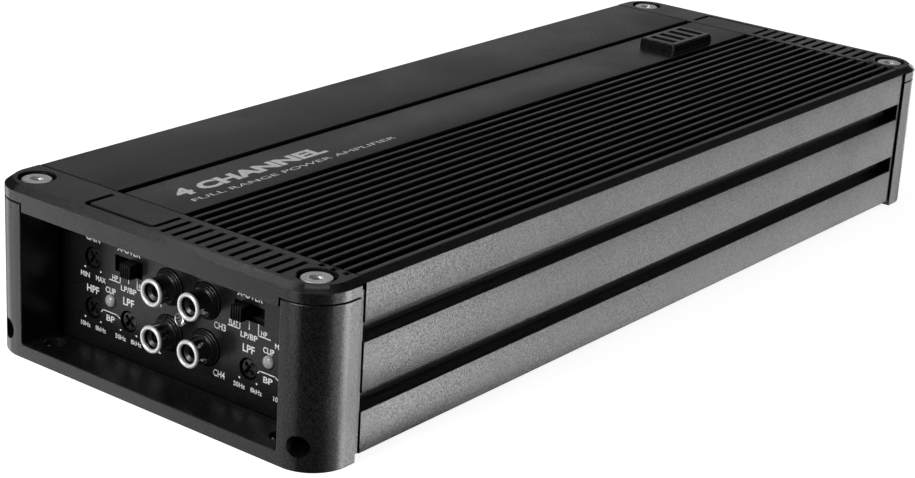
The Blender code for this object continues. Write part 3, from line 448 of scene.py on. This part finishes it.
def cap_frame(name, end):
    body = prism(name, cap_outline(), 0.0, POST_TOP)
    cut(body, block("window", (CAP_FRONT - 1, -WINDOW, FLOOR_TOP), (CAP_BACK + 1, WINDOW, POST_TOP + 1)),
        block("rebate", (CAP_BACK - 1.9, -WINDOW - 2.0, FLOOR_TOP - 2.0), (CAP_BACK + 2, WINDOW + 2.0, POST_TOP + 2)))
    soften(body, 0.35, 3)
    for side in (-1, 1):
        drill = turned("floor_drill", [(0, -1), (3.1, -1), (3.1, 0), (2.8, 0.3), (2.8, 3.87), (3.1, FLOOR_TOP), (3.1, 6), (0, 6)],
                       at=(CAP_FRONT + 7.4, side * 42.4, 0))
        cut(body, drill)
        profile = [(0, 10.0), (2.95, 10.0), (2.95, -1.0), (0, -1.0)]
        hole = turned("corner_drill", profile, "X", (CAP_FRONT - 0.5, side * 53.9, 7.0))
        cut(body, hole)
    half_turn(body, end)
    return settle(body, "chassis", CAST, "cast_cap", name)


def frustum(name, centre, size, lip):
    """A cutter for a straight slot in a top face, with a small chamfer at its mouth."""
    (x, y), (length, width) = centre, size

    def ring(z, grow):
        a, b = length / 2 + grow, width / 2 + grow
        return [(x - a, y - b, z), (x + a, y - b, z), (x + a, y + b, z), (x - a, y + b, z)]
    return loft(name, [ring(HEIGHT - 1.6, 0), ring(HEIGHT - lip, 0), ring(HEIGHT + 0.02, lip), ring(HEIGHT + 1, lip)])


def pad_groove(end):
    """A cutter for the U-shaped groove that outlines the pad in line with the raised band."""
    def path(half):
        x0, x1, y0, y1 = CAP_FRONT + 4.4, -145.9, 1.1, 26.55
        outer = rounded([(x1, y1 + half), (x0 - half, y1 + half), (x0 - half, y0 - half), (x1, y0 - half)],
                        [0, 1.4 + half, 1.4 + half, 0], 6)
        inner = rounded([(x1, y1 - half), (x0 + half, y1 - half), (x0 + half, y0 + half), (x1, y0 + half)],
                        [0, 1.4 - half, 1.4 - half, 0], 6)
        return outer + inner[::-1]
    rings = []
    for z, half in ((HEIGHT - 1.6, 0.62), (HEIGHT - 0.25, 0.62), (HEIGHT + 0.02, 0.85), (HEIGHT + 1, 0.85)):
        rings.append([(x, y * -end, z) for x, y in path(half)])
    return loft("pad", rings)


def cap_lid(name, end):
    levels = ((0.0, RAIL_BOTTOM), (0.0, HEIGHT - 1.6), (2.2, HEIGHT))
    lid = loft(name, [[(x, y, z) for x, y in cap_outline(LID_BACK, inset)] for inset, z in levels])
    front, rear = CAP_FRONT - 1, LID_BACK + 1
    cut(lid, block("panel", (CAP_BACK, -62, RAIL_BOTTOM - 1), (rear, 62, 48.5)),
        block("left", (front, RAIL_HALF_WIDTH, RAIL_BOTTOM - 1), (rear, CAP_HALF_WIDTH + 1, SEAM)),
        block("right", (front, -CAP_HALF_WIDTH - 1, RAIL_BOTTOM - 1), (rear, -RAIL_HALF_WIDTH, SEAM)),
        block("pocket", (CAP_FRONT + RAIL_DEPTH, -RAIL_HALF_WIDTH - 1, RAIL_BOTTOM - 1), (rear, RAIL_HALF_WIDTH + 1, SEAM)))
    recess = [(0, 47.1), (5.2, 47.1), (5.2, HEIGHT - 0.25), (5.45, HEIGHT + 0.02), (5.45, HEIGHT + 1), (0, HEIGHT + 1)]
    cut(lid, *[turned("recess", recess, at=(SCREW_X, side * SCREW_Y, 0), sides=64) for side in (-1, 1)])
    slots = []
    for index in range(14):
        y = FIRST_FIN_Y - FIN_PITCH * (index + 0.5)
        x, length = (SLOT_X, 10.7) if index < 11 else (LID_BACK - 1.2, 1.6)
        slots.append(frustum("slot", (x, y * -end), (length, FIN_WIDTH), 0.22))
    cut(lid, *slots, pad_groove(end))
    soften_where(lid, 0.28, 3, lambda p: p.x < CAP_FRONT + 2.9 or abs(p.y) > 57.5 or p.z < 46.9)
    half_turn(lid, end)
    return settle(lid, "chassis", CAST, "cast_cap", name)


def lid_screws():
    profile = [(0, 48.9), (1.75, 48.9), (1.75, 49.35), (1.95, 49.55), (3.75, 49.6), (4.1, 49.45), (4.25, 49.15),
               (4.25, 47.4), (2.3, 47.4), (2.3, 31.0), (0, 31.0)]
    for end, place in ((-1, "control"), (1, "terminal")):
        for side, hand in ((-1, "right"), (1, "left")):
            name = f"{place}_lid_screw_{hand}"
            at = (-end * SCREW_X, side * SCREW_Y, 0)
            screw = turned(name + "_look", profile, at=at, sides=64)
            cut(screw, turned("hex", [(0, 46.2), (1.5, 46.2), (1.5, 50), (0, 50)], at=at, sides=6, phase=0.3 + side))
            # The lid screws take the lighter steel copy, which paints light onto their heads.
            settle(screw, "chassis", LID_SCREW_PAINTED_LIGHT, "bright_steel", name)


def badge():
    outline = rounded([(98.5, 5.0), (123.5, 5.0), (123.5, 19.6), (98.5, 19.6)], 0.8, 4)
    centre = Vector((111.0, 12.3))

    def ring(z, shrink):
        return [(centre.x + (x - centre.x) * (1 - shrink / 12.5), centre.y + (y - centre.y) * (1 - shrink / 7.3), z)
                for x, y in outline]
    body = loft("badge_look", [ring(HEIGHT + 0.05, 0), ring(HEIGHT + 2.4, 0.2), ring(HEIGHT + 2.9, 0.5),
                               ring(HEIGHT + 3.1, 0.9)])
    for x in (102.6, 108.2, 113.8, 119.4):
        cut(body, block("bar", (x - 1.6, 7.4, HEIGHT + 2.55), (x + 1.6, 17.2, HEIGHT + 4)))
    soften(body, 0.12, 2)
    return settle(body, "chassis", GLOSS, "badge_gloss", "badge")


# ------------------------------------------------------------------ control bay
def panel_outline():
    return rounded([(-60.2, 1.9), (60.2, 1.9), (60.2, 46.7), (58.7, 48.2), (-58.7, 48.2), (-60.2, 46.7)], 0.0)


def phono_places():
    return [(PANEL_Y + side * PHONO_AT, z) for z in PHONO_ROWS for side in (1, -1)]


def trimmer_places():
    places = []
    for side, bank in BANKS:
        outer, inner = PANEL_Y + side * OUTER, PANEL_Y + side * INNER
        places += [(f"gain_{bank}", outer, UPPER_Z), (f"high_pass_{bank}", outer, LOWER_Z),
                   (f"low_pass_{bank}", inner, LOWER_Z)]
    return places


def control_panel():
    holes = [circle(y, z, 5.35) for y, z in phono_places()]
    holes += [circle(y, z, 3.175, 48) for _, y, z in trimmer_places()]
    for side, _ in BANKS:
        holes.append(rounded(rectangle(PANEL_Y + side * INNER, SWITCH_Z, 10.6, 4.8), 0.25, 3))
        holes.append(circle(PANEL_Y + side * LED_AT, LED_Z, 2.1, 40))
    holes.append(circle(PANEL_Y, sum(PHONO_ROWS) / 2, 1.6, 24))
    plate = sheet("control_panel_look", [panel_outline()] + holes, PANEL_FRONT, PANEL_BACK)
    return settle(plate, "chassis", PANEL, "panel_paint", "control_panel", weighted=False)


def arc(radius, height, bulge, start, stop, steps=6):
    """Points of a rounded edge, as (radius, height), about a centre; angles are in degrees."""
    return [(radius + bulge * cos(radians(start + (stop - start) * i / steps)),
             height + bulge * sin(radians(start + (stop - start) * i / steps))) for i in range(steps + 1)]


def phono_sockets():
    """Turned about the panel's front plane; heights run out towards the plug."""
    collar = ([(0, -4.0), (5.05, -4.0)] + arc(4.8, 0.25, 0.25, 0, 90, 3) + [(4.62, 0.4), (4.62, 0.75)]
              + arc(4.42, 0.85, 0.2, 0, 90, 3) + [(4.22, 0.95), (4.22, 1.3)] + arc(4.05, 1.4, 0.17, 0, 90, 3)
              + [(3.9, 1.5), (0, 1.5)])
    core = [(0, -1.0), (1.4, -1.0), (1.45, 4.95), (1.6, 5.15), (2.5, 5.64), (2.62, 5.6), (2.62, -2.0), (0, -2.0)]
    barrel = [(3.72, -2.6), (3.72, 6.3), (2.95, 6.3), (2.9, -2.6)]
    lip = arc(3.33, 6.58, 0.62, 0, 360, 20)[:-1]
    contact = [(1.2, -1.0), (1.28, 2.0), (1.38, 2.05), (1.38, -1.0)]
    stubs = []
    for index, (y, z) in enumerate(phono_places(), 1):
        at = (PANEL_FRONT, y, z)
        stubs += [turned("collar", collar, "-X", at, 64)]
        core_piece = turned(f"phono_core_{index}", core, "-X", at, 40)
        settle(core_piece, "chassis", BLACK, "black_plastic")
        sleeve = turned(f"phono_barrel_{index}", barrel, "-X", at, 64)
        settle(sleeve, "chassis", CHROME, "jack_chrome", f"phono_shell_{index}", weighted=False)
        ring = turned(f"phono_lip_{index}", lip, "-X", at, 64)
        # The lip uses the painted-highlight copy of the jack plating.
        settle(ring, "chassis", LIP_PAINTED_HIGHLIGHT, "jack_chrome", f"phono_shell_{index}", weighted=False, sharp=60)
        spring = turned(f"phono_contact_{index}", contact, "-X", at, 32)
        settle(spring, "chassis", ZINC, "zinc_steel")
    housing = block("housing", (PANEL_BACK + 0.3, PANEL_Y - 14, ON_BOARD), (PANEL_BACK + 12.3, PANEL_Y + 14, 36.2))
    soften(housing, 0.4, 2)
    settle(joined("phono_block_look", [housing] + stubs), "chassis", BLACK, "black_plastic", "phono_block",
           weighted=False)
    middle = sum(PHONO_ROWS) / 2
    head = [(0, 1.5), (0.5, 1.55), (1.45, 2.75), (1.6, 2.95), (1.8, 3.0), (2.1, 2.75), (2.2, 2.3), (2.2, 0.3), (1.3, 0.3),
            (1.3, -8.0), (0, -8.0)]
    screw = turned("phono_block_screw_look", head, "-X", (PANEL_FRONT, PANEL_Y, middle), 40)
    settle(screw, "chassis", SCREW, "bright_steel", "phono_block_screw")


def trimmers():
    for name, y, z in trimmer_places():
        rotor = turned(f"{name}_adjuster_look", [(0, 0), (2.45, 0), (2.7, -0.2), (2.85, -0.5), (2.85, -4.6), (0, -4.6)],
                       "-X", (PANEL_FRONT + 0.5, y, z), 48)
        turn = Matrix.Translation((0, y, z)) @ Matrix.Rotation(radians(42), 4, "X") @ Matrix.Translation((0, -y, -z))
        for width, height in ((1.0, 4.5), (3.9, 1.0)):
            front = PANEL_FRONT + 0.5
            tool = loft("slot", [[(front + d, a, b) for a, b in rectangle(y, z, width + g, height + g)]
                                 for d, g in ((1.2, -0.15), (0.12, 0.0), (-0.02, 0.22), (-1.0, 0.22))])
            tool.data.transform(turn)
            cut(rotor, tool)
        settle(rotor, f"{name}_adjuster_body", TRIMMER, "trimmer_plastic", f"{name}_adjuster")


def switches():
    for side, bank in BANKS:
        y = PANEL_Y + side * (INNER - 1.9)
        front = PANEL_FRONT - 3.4
        pitch, top, root = 0.86, 0.0, 0.42
        teeth = []
        for rib in range(5):
            a = y - 1.9 + rib * pitch
            teeth += [(a + 0.02, front + top), (a + 0.30, front + top)]
            if rib < 4:
                teeth += [(a + 0.40, front + root), (a + 0.74, front + root)]
        teeth[-1] = (y + 1.9 - 0.02, front + top)
        outline = [(y - 1.9, PANEL_BACK)] + [(b, a) for b, a in [(y - 1.9, front + 0.1)]] + teeth
        outline += [(y + 1.9, front + 0.1), (y + 1.9, PANEL_BACK)]
        rings = [[(x, yy, SWITCH_Z + zz) for yy, x in outline] for zz in (-2.05, 2.05)]
        knob = loft("knob", rings)
        soften(knob, 0.08, 1, 40)
        tongue = block("tongue", (PANEL_BACK - 0.5, y - 1.5, SWITCH_Z - 1.2), (PANEL_BACK + 2.6, y + 1.5, SWITCH_Z + 1.2))
        slider = joined(f"crossover_slider_{bank}_look", [knob, tongue])
        settle(slider, f"crossover_slider_{bank}_body", SATIN, "black_plastic", f"crossover_slider_{bank}", weighted=False)


def clip_lights():
    for side, bank in BANKS:
        nose = [(1.85 * sin(pi / 2 * i / 10), 1.1 * cos(pi / 2 * i / 10)) for i in range(11)]
        lens = turned(f"clip_light_{bank}_look", nose + [(1.85, -5.4), (0, -5.4)], "-X",
                      (PANEL_FRONT, PANEL_Y + side * LED_AT, LED_Z), 40)
        settle(lens, "chassis", LENS, "clear_lens", f"clip_light_{bank}", weighted=False)


# ------------------------------------------------------------------ legends
class Print:
    """Printed lettering and lines on one face, gathered into one thin mesh."""

    def __init__(self, right, up, origin):
        self.right, self.up, self.origin = Vector(right), Vector(up), Vector(origin)
        self.out = self.right.cross(self.up)
        self.parts = []

    def text(self, words, across, low, width, height, weight=0.0, shear=0.0):
        """Words centred at across, standing on low, fitted to a width and a height."""
        curve = bpy.data.curves.new("words", "FONT")
        curve.body = words
        curve.offset = weight
        curve.shear = shear
        curve.resolution_u = 3
        piece = from_curve("words", curve, Matrix.Identity(4))
        xs = [v.co.x for v in piece.data.vertices]
        ys = [v.co.y for v in piece.data.vertices]
        sx, sy = width / (max(xs) - min(xs)), height / (max(ys) - min(ys))
        for v in piece.data.vertices:
            u = (v.co.x - (max(xs) + min(xs)) / 2) * sx + across
            w = (v.co.y - min(ys)) * sy + low
            v.co = self.at(u, w)
        self.parts.append(piece)

    def at(self, u, w):
        return self.origin + self.right * u + self.up * w

    def line(self, points, width=0.28):
        for (ax, ay), (bx, by) in zip(points, points[1:]):
            a, b = Vector((ax, ay)), Vector((bx, by))
            along = (b - a).normalized() * (width / 2)
            side = Vector((-along.y, along.x))
            corners = [a - along - side, b + along - side, b + along + side, a - along + side]
            self.face([tuple(c) for c in corners])

    def dot(self, u, w, radius=0.3):
        self.face([(u + radius * cos(2 * pi * i / 16), w + radius * sin(2 * pi * i / 16)) for i in range(16)])

    def face(self, points):
        bm = bmesh.new()
        bm.faces.new([bm.verts.new(self.at(u, w)) for u, w in points])
        self.parts.append(shown("mark", bm))

    def lay(self, name, look, slot):
        """Joins the marks and gives them a printed thickness."""
        bm = bmesh.new()
        for part in self.parts:
            bm.from_mesh(part.data)
            bpy.data.objects.remove(part)
        for face in bm.faces:
            if face.normal.dot(self.out) < 0:
                face.normal_flip()
        mesh = bpy.data.meshes.new(name)
        bm.to_mesh(mesh)
        bm.free()
        obj = bpy.data.objects.new(name, mesh)
        bpy.context.scene.collection.objects.link(obj)
        modify(obj, "SOLIDIFY", thickness=0.03, offset=1.0)
        return settle(obj, "chassis", look, slot, weighted=False)


def control_legends():
    """Reads from +Y to -Y, so distances across the panel are taken as -y."""
    p = Print((0, -1, 0), (0, 0, 1), (PANEL_FRONT - 0.005, PANEL_Y, 0))
    for side, bank in BANKS:
        outer, inner, led = -side * OUTER, -side * INNER, -side * LED_AT
        p.text("GAIN", outer, 33.75, 5.6, 2.2, 0.02)
        p.text("X-OVER", inner, 33.75, 9.0, 2.2, 0.02)
        p.text("HPF", outer, 18.6, 4.85, 2.15, 0.02)
        p.text("LPF", inner, 18.65, 4.25, 2.2, 0.02)
        p.text("CLIP", led, 20.35, 3.9, 1.75, 0.02)
        p.text("BP", led, 12.0, 3.25, 1.75, 0.015)
        p.text("LP/BP", inner, 22.5, 6.0, 1.65, 0.015)
        p.text("MIN", outer - 3.1, 22.65, 3.5, 1.5, 0.015)
        p.text("MAX", outer + 3.1, 22.65, 3.85, 1.5, 0.015)
        p.text("10Hz", outer - 3.0, 7.85, 3.8, 1.4, 0.012)
        p.text("8kHz", outer + 3.05, 7.85, 4.15, 1.4, 0.012)
        p.text("50Hz", inner - 3.1, 7.85, 4.1, 1.4, 0.012)
        p.text("8kHz", inner + 3.0, 7.85, 4.1, 1.4, 0.012)
        for u, w in ((outer - 3.1, 25.6), (outer + 3.1, 25.6), (outer - 3.1, 10.75), (outer + 3.1, 10.75),
                     (inner - 3.1, 10.75), (inner + 3.1, 10.75)):
            p.dot(u, w)
        half = 3.375
        p.line([(led - half - 0.3, 14.0), (led - half + 0.4, 14.75), (led + half - 0.9, 14.75), (led + half + 0.3, 14.0)])
        p.line([(inner, 27.6), (inner, 25.3)])
        away = side * -1
        for hand in (-1, 1):
            at = inner + hand * 3.3
            p.line([(at, 27.6), (at, 24.5), (at + hand * 4.2, 24.5)])
        p.text("HP", inner + away * 5.3, 24.75, 2.15, 1.5, 0.012)
        p.text("FLAT", inner - away * 5.6, 24.75, 3.2, 1.5, 0.012)
    for across, channels in ((-11.95, ("CH1", "CH2")), (11.95, ("CH3", "CH4"))):
        for words, middle in zip(channels, (23.05, 9.35)):
            p.text(words, across, middle - 1.0, 4.25, 2.0, 0.015)
    p.lay("control_legends", INK, "panel_paint")


def top_legends():
    p = Print((1, 0, 0), (0, 1, 0), (0, 0, HEIGHT + 0.005))
    p.text("4 CHANNEL", -104.05, 12.5, 59.5, 5.7, 0.045)
    p.text("FULL RANGE POWER AMPLIFIER", -91.55, 7.75, 84.5, 1.95, -0.004)
    p.lay("top_legends", INK, "anodised_body")


def terminal_legends():
    p = Print((0, 1, 0), (0, 0, 1), (-PANEL_FRONT + 0.005, 0, 0))
    for words, y in (("+12V", -37.0), ("REM", -25.0), ("GND", -13.0)):
        p.text(words, y, 31.6, 6.2, 2.1, 0.02)
    for index in range(4):
        y = 21.0 + (index - 1.5) * 8.5
        p.text(f"CH{index + 1}", y, 26.6, 4.2, 1.9, 0.015)
        p.text("+", y, 29.6, 1.3, 1.3, 0.01)
    p.line([(3.0, 31.8), (3.0, 32.6), (39.0, 32.6), (39.0, 31.8)])
    p.text("SPEAKERS", 21.0, 33.6, 13.0, 2.1, 0.02)
    p.lay("terminal_legends", INK, "panel_paint")


# ------------------------------------------------------------------ terminal bay
def terminal_panel():
    power = rectangle(-25.0, ON_BOARD + 10.0, 38.6, 20.6)
    speaker = rectangle(21.0, ON_BOARD + 7.5, 38.6, 15.6)
    plate = sheet("terminal_panel_look", [panel_outline(), power, speaker], -PANEL_BACK, -PANEL_FRONT)
    settle(plate, "chassis", PANEL, "panel_paint", "terminal_panel", weighted=False)


def power_terminals():
    bottom, front, clamp = ON_BOARD, 154.0, 146.0
    body = block("power_terminal_block_look", (132.0, -44.0, bottom), (front, -6.0, bottom + 20.0))
    soften(body, 0.5, 3)
    cage_bottom = bottom + 1.8
    for index, y in enumerate((-37.0, -25.0, -13.0), 1):
        cut(body, block("well", (clamp - 5, y - 4.1, bottom + 1.5), (front + 1, y + 4.1, bottom + 14.0)))
        mouth = loft("mouth", [[(x, a, b) for a, b in rectangle(y, bottom + 7.75, 8.2 + g, 12.5 + g)]
                               for x, g in ((front - 0.7, -0.01), (front + 0.05, 1.4))])
        shank = turned("shank_hole", [(0, bottom + 12), (2.2, bottom + 12), (2.2, bottom + 17), (0, bottom + 17)], at=(clamp, y, 0), sides=32)
        head = turned("head_hole", [(0, bottom + 15), (3.5, bottom + 15), (3.5, bottom + 19.6), (3.9, bottom + 20.05),
                                    (3.9, bottom + 22), (0, bottom + 22)], at=(clamp, y, 0), sides=48)
        cut(body, mouth, shank, head)
        cage = block(f"power_clamp_cage_{index}_look", (clamp - 4, y - 3.8, cage_bottom), (clamp + 4, y + 3.8, cage_bottom + 9))
        cut(cage, block("hollow", (clamp - 6, y - 2.6, cage_bottom + 1.2), (clamp + 6, y + 2.6, cage_bottom + 7.2)),
            turned("thread", [(0, cage_bottom + 6), (2.2, cage_bottom + 6), (2.2, cage_bottom + 12), (0, cage_bottom + 12)],
                   at=(clamp, y, 0), sides=32))
        soften(cage, 0.18, 2)
        settle(cage, f"power_clamp_cage_{index}_body", BRASS, "brass", f"power_clamp_cage_{index}")
        low, high = bottom + 15.3, bottom + 18.3
        profile = [(0, high), (2.8, high), (3.1, high - 0.3), (3.1, low), (1.9, low), (1.9, cage_bottom + 7.4), (0, cage_bottom + 7.4)]
        screw = turned(f"power_clamp_screw_{index}_look", profile, at=(clamp, y, 0), sides=48)
        cut(screw, block("slot", (clamp - 4, y - 0.5, high - 1.2), (clamp + 4, y + 0.5, high + 1)))
        settle(screw, f"power_clamp_screw_{index}_body", SCREW, "bright_steel", f"power_clamp_screw_{index}")
    settle(body, "chassis", BLACK, "black_plastic", "power_terminal_block")


def speaker_socket():
    bottom, front = ON_BOARD, 152.0
    shroud = block("speaker_socket_look", (134.0, 2.0, bottom), (front, 40.0, bottom + 15))
    soften(shroud, 0.45, 3)
    cut(shroud, block("cavity", (front - 10, 3.5, bottom + 1.5), (front + 1, 38.5, bottom + 13.5)))
    for y in (16.75, 25.25):
        cut(shroud, block("key", (front - 6, y - 1.2, bottom + 13), (front + 1, y + 1.2, bottom + 14.2)))
    settle(shroud, "chassis", BLACK, "black_plastic", "speaker_socket")
    pins = []
    for row in range(2):
        for column in range(4):
            y, z = 21.0 + (column - 1.5) * 8.5, bottom + 7.5 + (row - 0.5) * 5.5
            pins.append(loft("pin", [[(x, a, b) for a, b in rectangle(y, z, s, s)]
                                     for x, s in ((141.0, 1.2), (147.4, 1.2), (148.0, 0.5))]))
    settle(joined("speaker_pins", pins), "chassis", BRASS, "brass", weighted=False)


# ------------------------------------------------------------------ CAD pieces shown as they are
def dress_inside():
    looks = {"bottom_plate": PANEL, "main_board": BOARD, "toroid_transformer": COPPER, "output_choke": COPPER}
    for index in (1, 2):
        looks[f"bulk_capacitor_{index}"] = SLEEVE
        for hand in ("left", "right"):
            looks[f"power_transistor_{hand}_{index}"] = BLACK
            looks[f"transistor_clamp_{hand}"] = ZINC
    for index in range(1, 5):
        looks[f"bottom_plate_screw_{index}"] = ZINC
    for _, bank in BANKS:
        looks[f"crossover_switch_{bank}"] = BLACK
        for kind in ("gain", "high_pass", "low_pass"):
            looks[f"{kind}_{bank}_trimmer"] = BLACK
    for name, look in looks.items():
        NODES[name].data.materials.clear()
        NODES[name].data.materials.append(look)


# ------------------------------------------------------------------ stage
CAMERA_AZIMUTH, CAMERA_ELEVATION, CAMERA_ROLL = radians(-52.96), radians(20.02), radians(3.42)
CAMERA_SHIFT = (-15.681, 7.084)
CAMERA_DISTANCE = 689.465
LENS_MM = 84.60


def camera():
    a, e, r = CAMERA_AZIMUTH, CAMERA_ELEVATION, CAMERA_ROLL
    back = Vector((sin(a) * cos(e), -cos(a) * cos(e), sin(e)))
    level = Vector((cos(a), sin(a), 0.0))
    rise = back.cross(level)
    right = level * cos(r) + rise * sin(r)
    up = rise * cos(r) - level * sin(r)
    place = (right * CAMERA_SHIFT[0] + up * CAMERA_SHIFT[1] + back * CAMERA_DISTANCE) * MM
    data = bpy.data.cameras.new("camera")
    data.sensor_fit = "HORIZONTAL"
    data.sensor_width = 36.0
    data.lens = LENS_MM
    data.clip_start = 0.01
    data.clip_end = 50.0
    seen = bpy.data.objects.new("camera", data)
    bpy.context.scene.collection.objects.link(seen)
    axes = Matrix((right, up, back)).transposed().to_4x4()
    seen.matrix_world = Matrix.Translation(place) @ axes
    bpy.context.scene.camera = seen


def softbox(name, toward, distance, size, power, aim=(0.0, 0.0, 0.025)):
    """A rectangular light in a direction from the object, facing it."""
    data = bpy.data.lights.new(name, "AREA")
    data.shape = "RECTANGLE"
    data.size, data.size_y = size
    data.energy = power
    light = bpy.data.objects.new(name, data)
    bpy.context.scene.collection.objects.link(light)
    aim = Vector(aim)
    place = aim + Vector(toward).normalized() * distance
    light.location = place
    light.rotation_euler = (place - aim).to_track_quat("Z", "Y").to_euler()
    light.visible_camera = False
    return light


# name, direction from the object, distance, size and power; metres and watts
SOFTBOXES = (
    ("side_sheen", (0.82, -0.50, -0.33), 1.6, (0.9, 0.7), 4.3),
    ("side_near", (0.50, -0.80, -0.34), 1.6, (0.6, 0.7), 12.0),
    ("side_level", (0.05, -0.99, -0.10), 1.6, (0.7, 0.6), 10.5),
    ("front_sheen", (-0.58, 0.72, -0.37), 1.6, (0.6, 0.7), 2.4),
    ("front_edge", (-0.84, 0.41, -0.35), 1.6, (0.4, 0.6), 0.4),
    ("front_high", (-0.88, 0.12, 0.40), 1.8, (0.7, 0.7), 21.0),
    ("front_fill", (-0.95, 0.22, -0.20), 1.6, (0.6, 0.6), 2.0),
    ("rim_low", (-0.10, 0.93, -0.34), 1.6, (0.8, 0.7), 2.8),
    ("top_sheen", (0.76, 0.58, 0.28), 1.6, (1.0, 0.5), 0.52),
    ("top_back", (0.45, 0.50, 0.75), 1.8, (0.7, 0.7), 1.5),
    ("lid_edge", (-0.10, 0.57, 0.82), 1.8, (0.6, 0.6), 2.8),
    ("overhead", (0.0, 0.0, 1.0), 1.8, (1.0, 1.0), 1.3),
    ("back_low", (0.67, 0.67, -0.34), 1.6, (0.9, 0.7), 6.0),
    ("end_level", (0.99, 0.05, -0.08), 1.6, (0.6, 0.6), 4.0),
    ("top_cross", (-0.64, 0.64, 0.42), 1.7, (0.8, 0.6), 0.8),
    ("top_far", (0.68, -0.68, 0.26), 1.6, (0.9, 0.5), 0.45),
)


def stage():
    bm = bmesh.new()
    bm.faces.new([bm.verts.new(p) for p in ((-6, -6, 0), (6, -6, 0), (6, 6, 0), (-6, 6, 0))])
    floor = shown("floor", bm)
    look = Look("pale_floor")
    cloud = look.noise(3.0, 2.0)
    look.tint(cloud, (0.50, 0.50, 0.50), (0.53, 0.53, 0.53))
    look.set(roughness=0.7, specular=0.1)
    look.shader.inputs["Emission Color"].default_value = (1.0, 1.0, 1.0, 1.0)
    look.shader.inputs["Emission Strength"].default_value = 0.92
    floor.data.materials.append(look.material)
    floor.visible_glossy = False
    floor.visible_diffuse = False
    floor.visible_shadow = False
    world = bpy.data.worlds.new("studio")
    bpy.context.scene.world = world
    world.use_nodes = True
    tree = world.node_tree
    paper = tree.nodes["Background"]
    paper.inputs["Color"].default_value = (1, 1, 1, 1)
    paper.inputs["Strength"].default_value = 1.0
    dim = tree.nodes.new("ShaderNodeBackground")
    dim.inputs["Color"].default_value = (1, 1, 1, 1)
    dim.inputs["Strength"].default_value = 0.03
    path = tree.nodes.new("ShaderNodeLightPath")
    mix = tree.nodes.new("ShaderNodeMixShader")
    tree.links.new(path.outputs["Is Camera Ray"], mix.inputs[0])
    tree.links.new(dim.outputs[0], mix.inputs[1])
    tree.links.new(paper.outputs[0], mix.inputs[2])
    tree.links.new(mix.outputs[0], tree.nodes["World Output"].inputs[0])
    for name, toward, distance, size, power in SOFTBOXES:
        softbox(name, toward, distance, size, power)
    bpy.context.scene.view_settings.view_transform = "Standard"


# ------------------------------------------------------------------ build
heatsink()
for cap, at_end in (("control", -1), ("terminal", 1)):
    cap_frame(f"{cap}_cap_frame", at_end)
    cap_lid(f"{cap}_cap_lid", at_end)
lid_screws()
badge()
control_panel()
phono_sockets()
trimmers()
switches()
clip_lights()
control_legends()
top_legends()
terminal_panel()
power_terminals()
speaker_socket()
terminal_legends()
dress_inside()
camera()
stage()
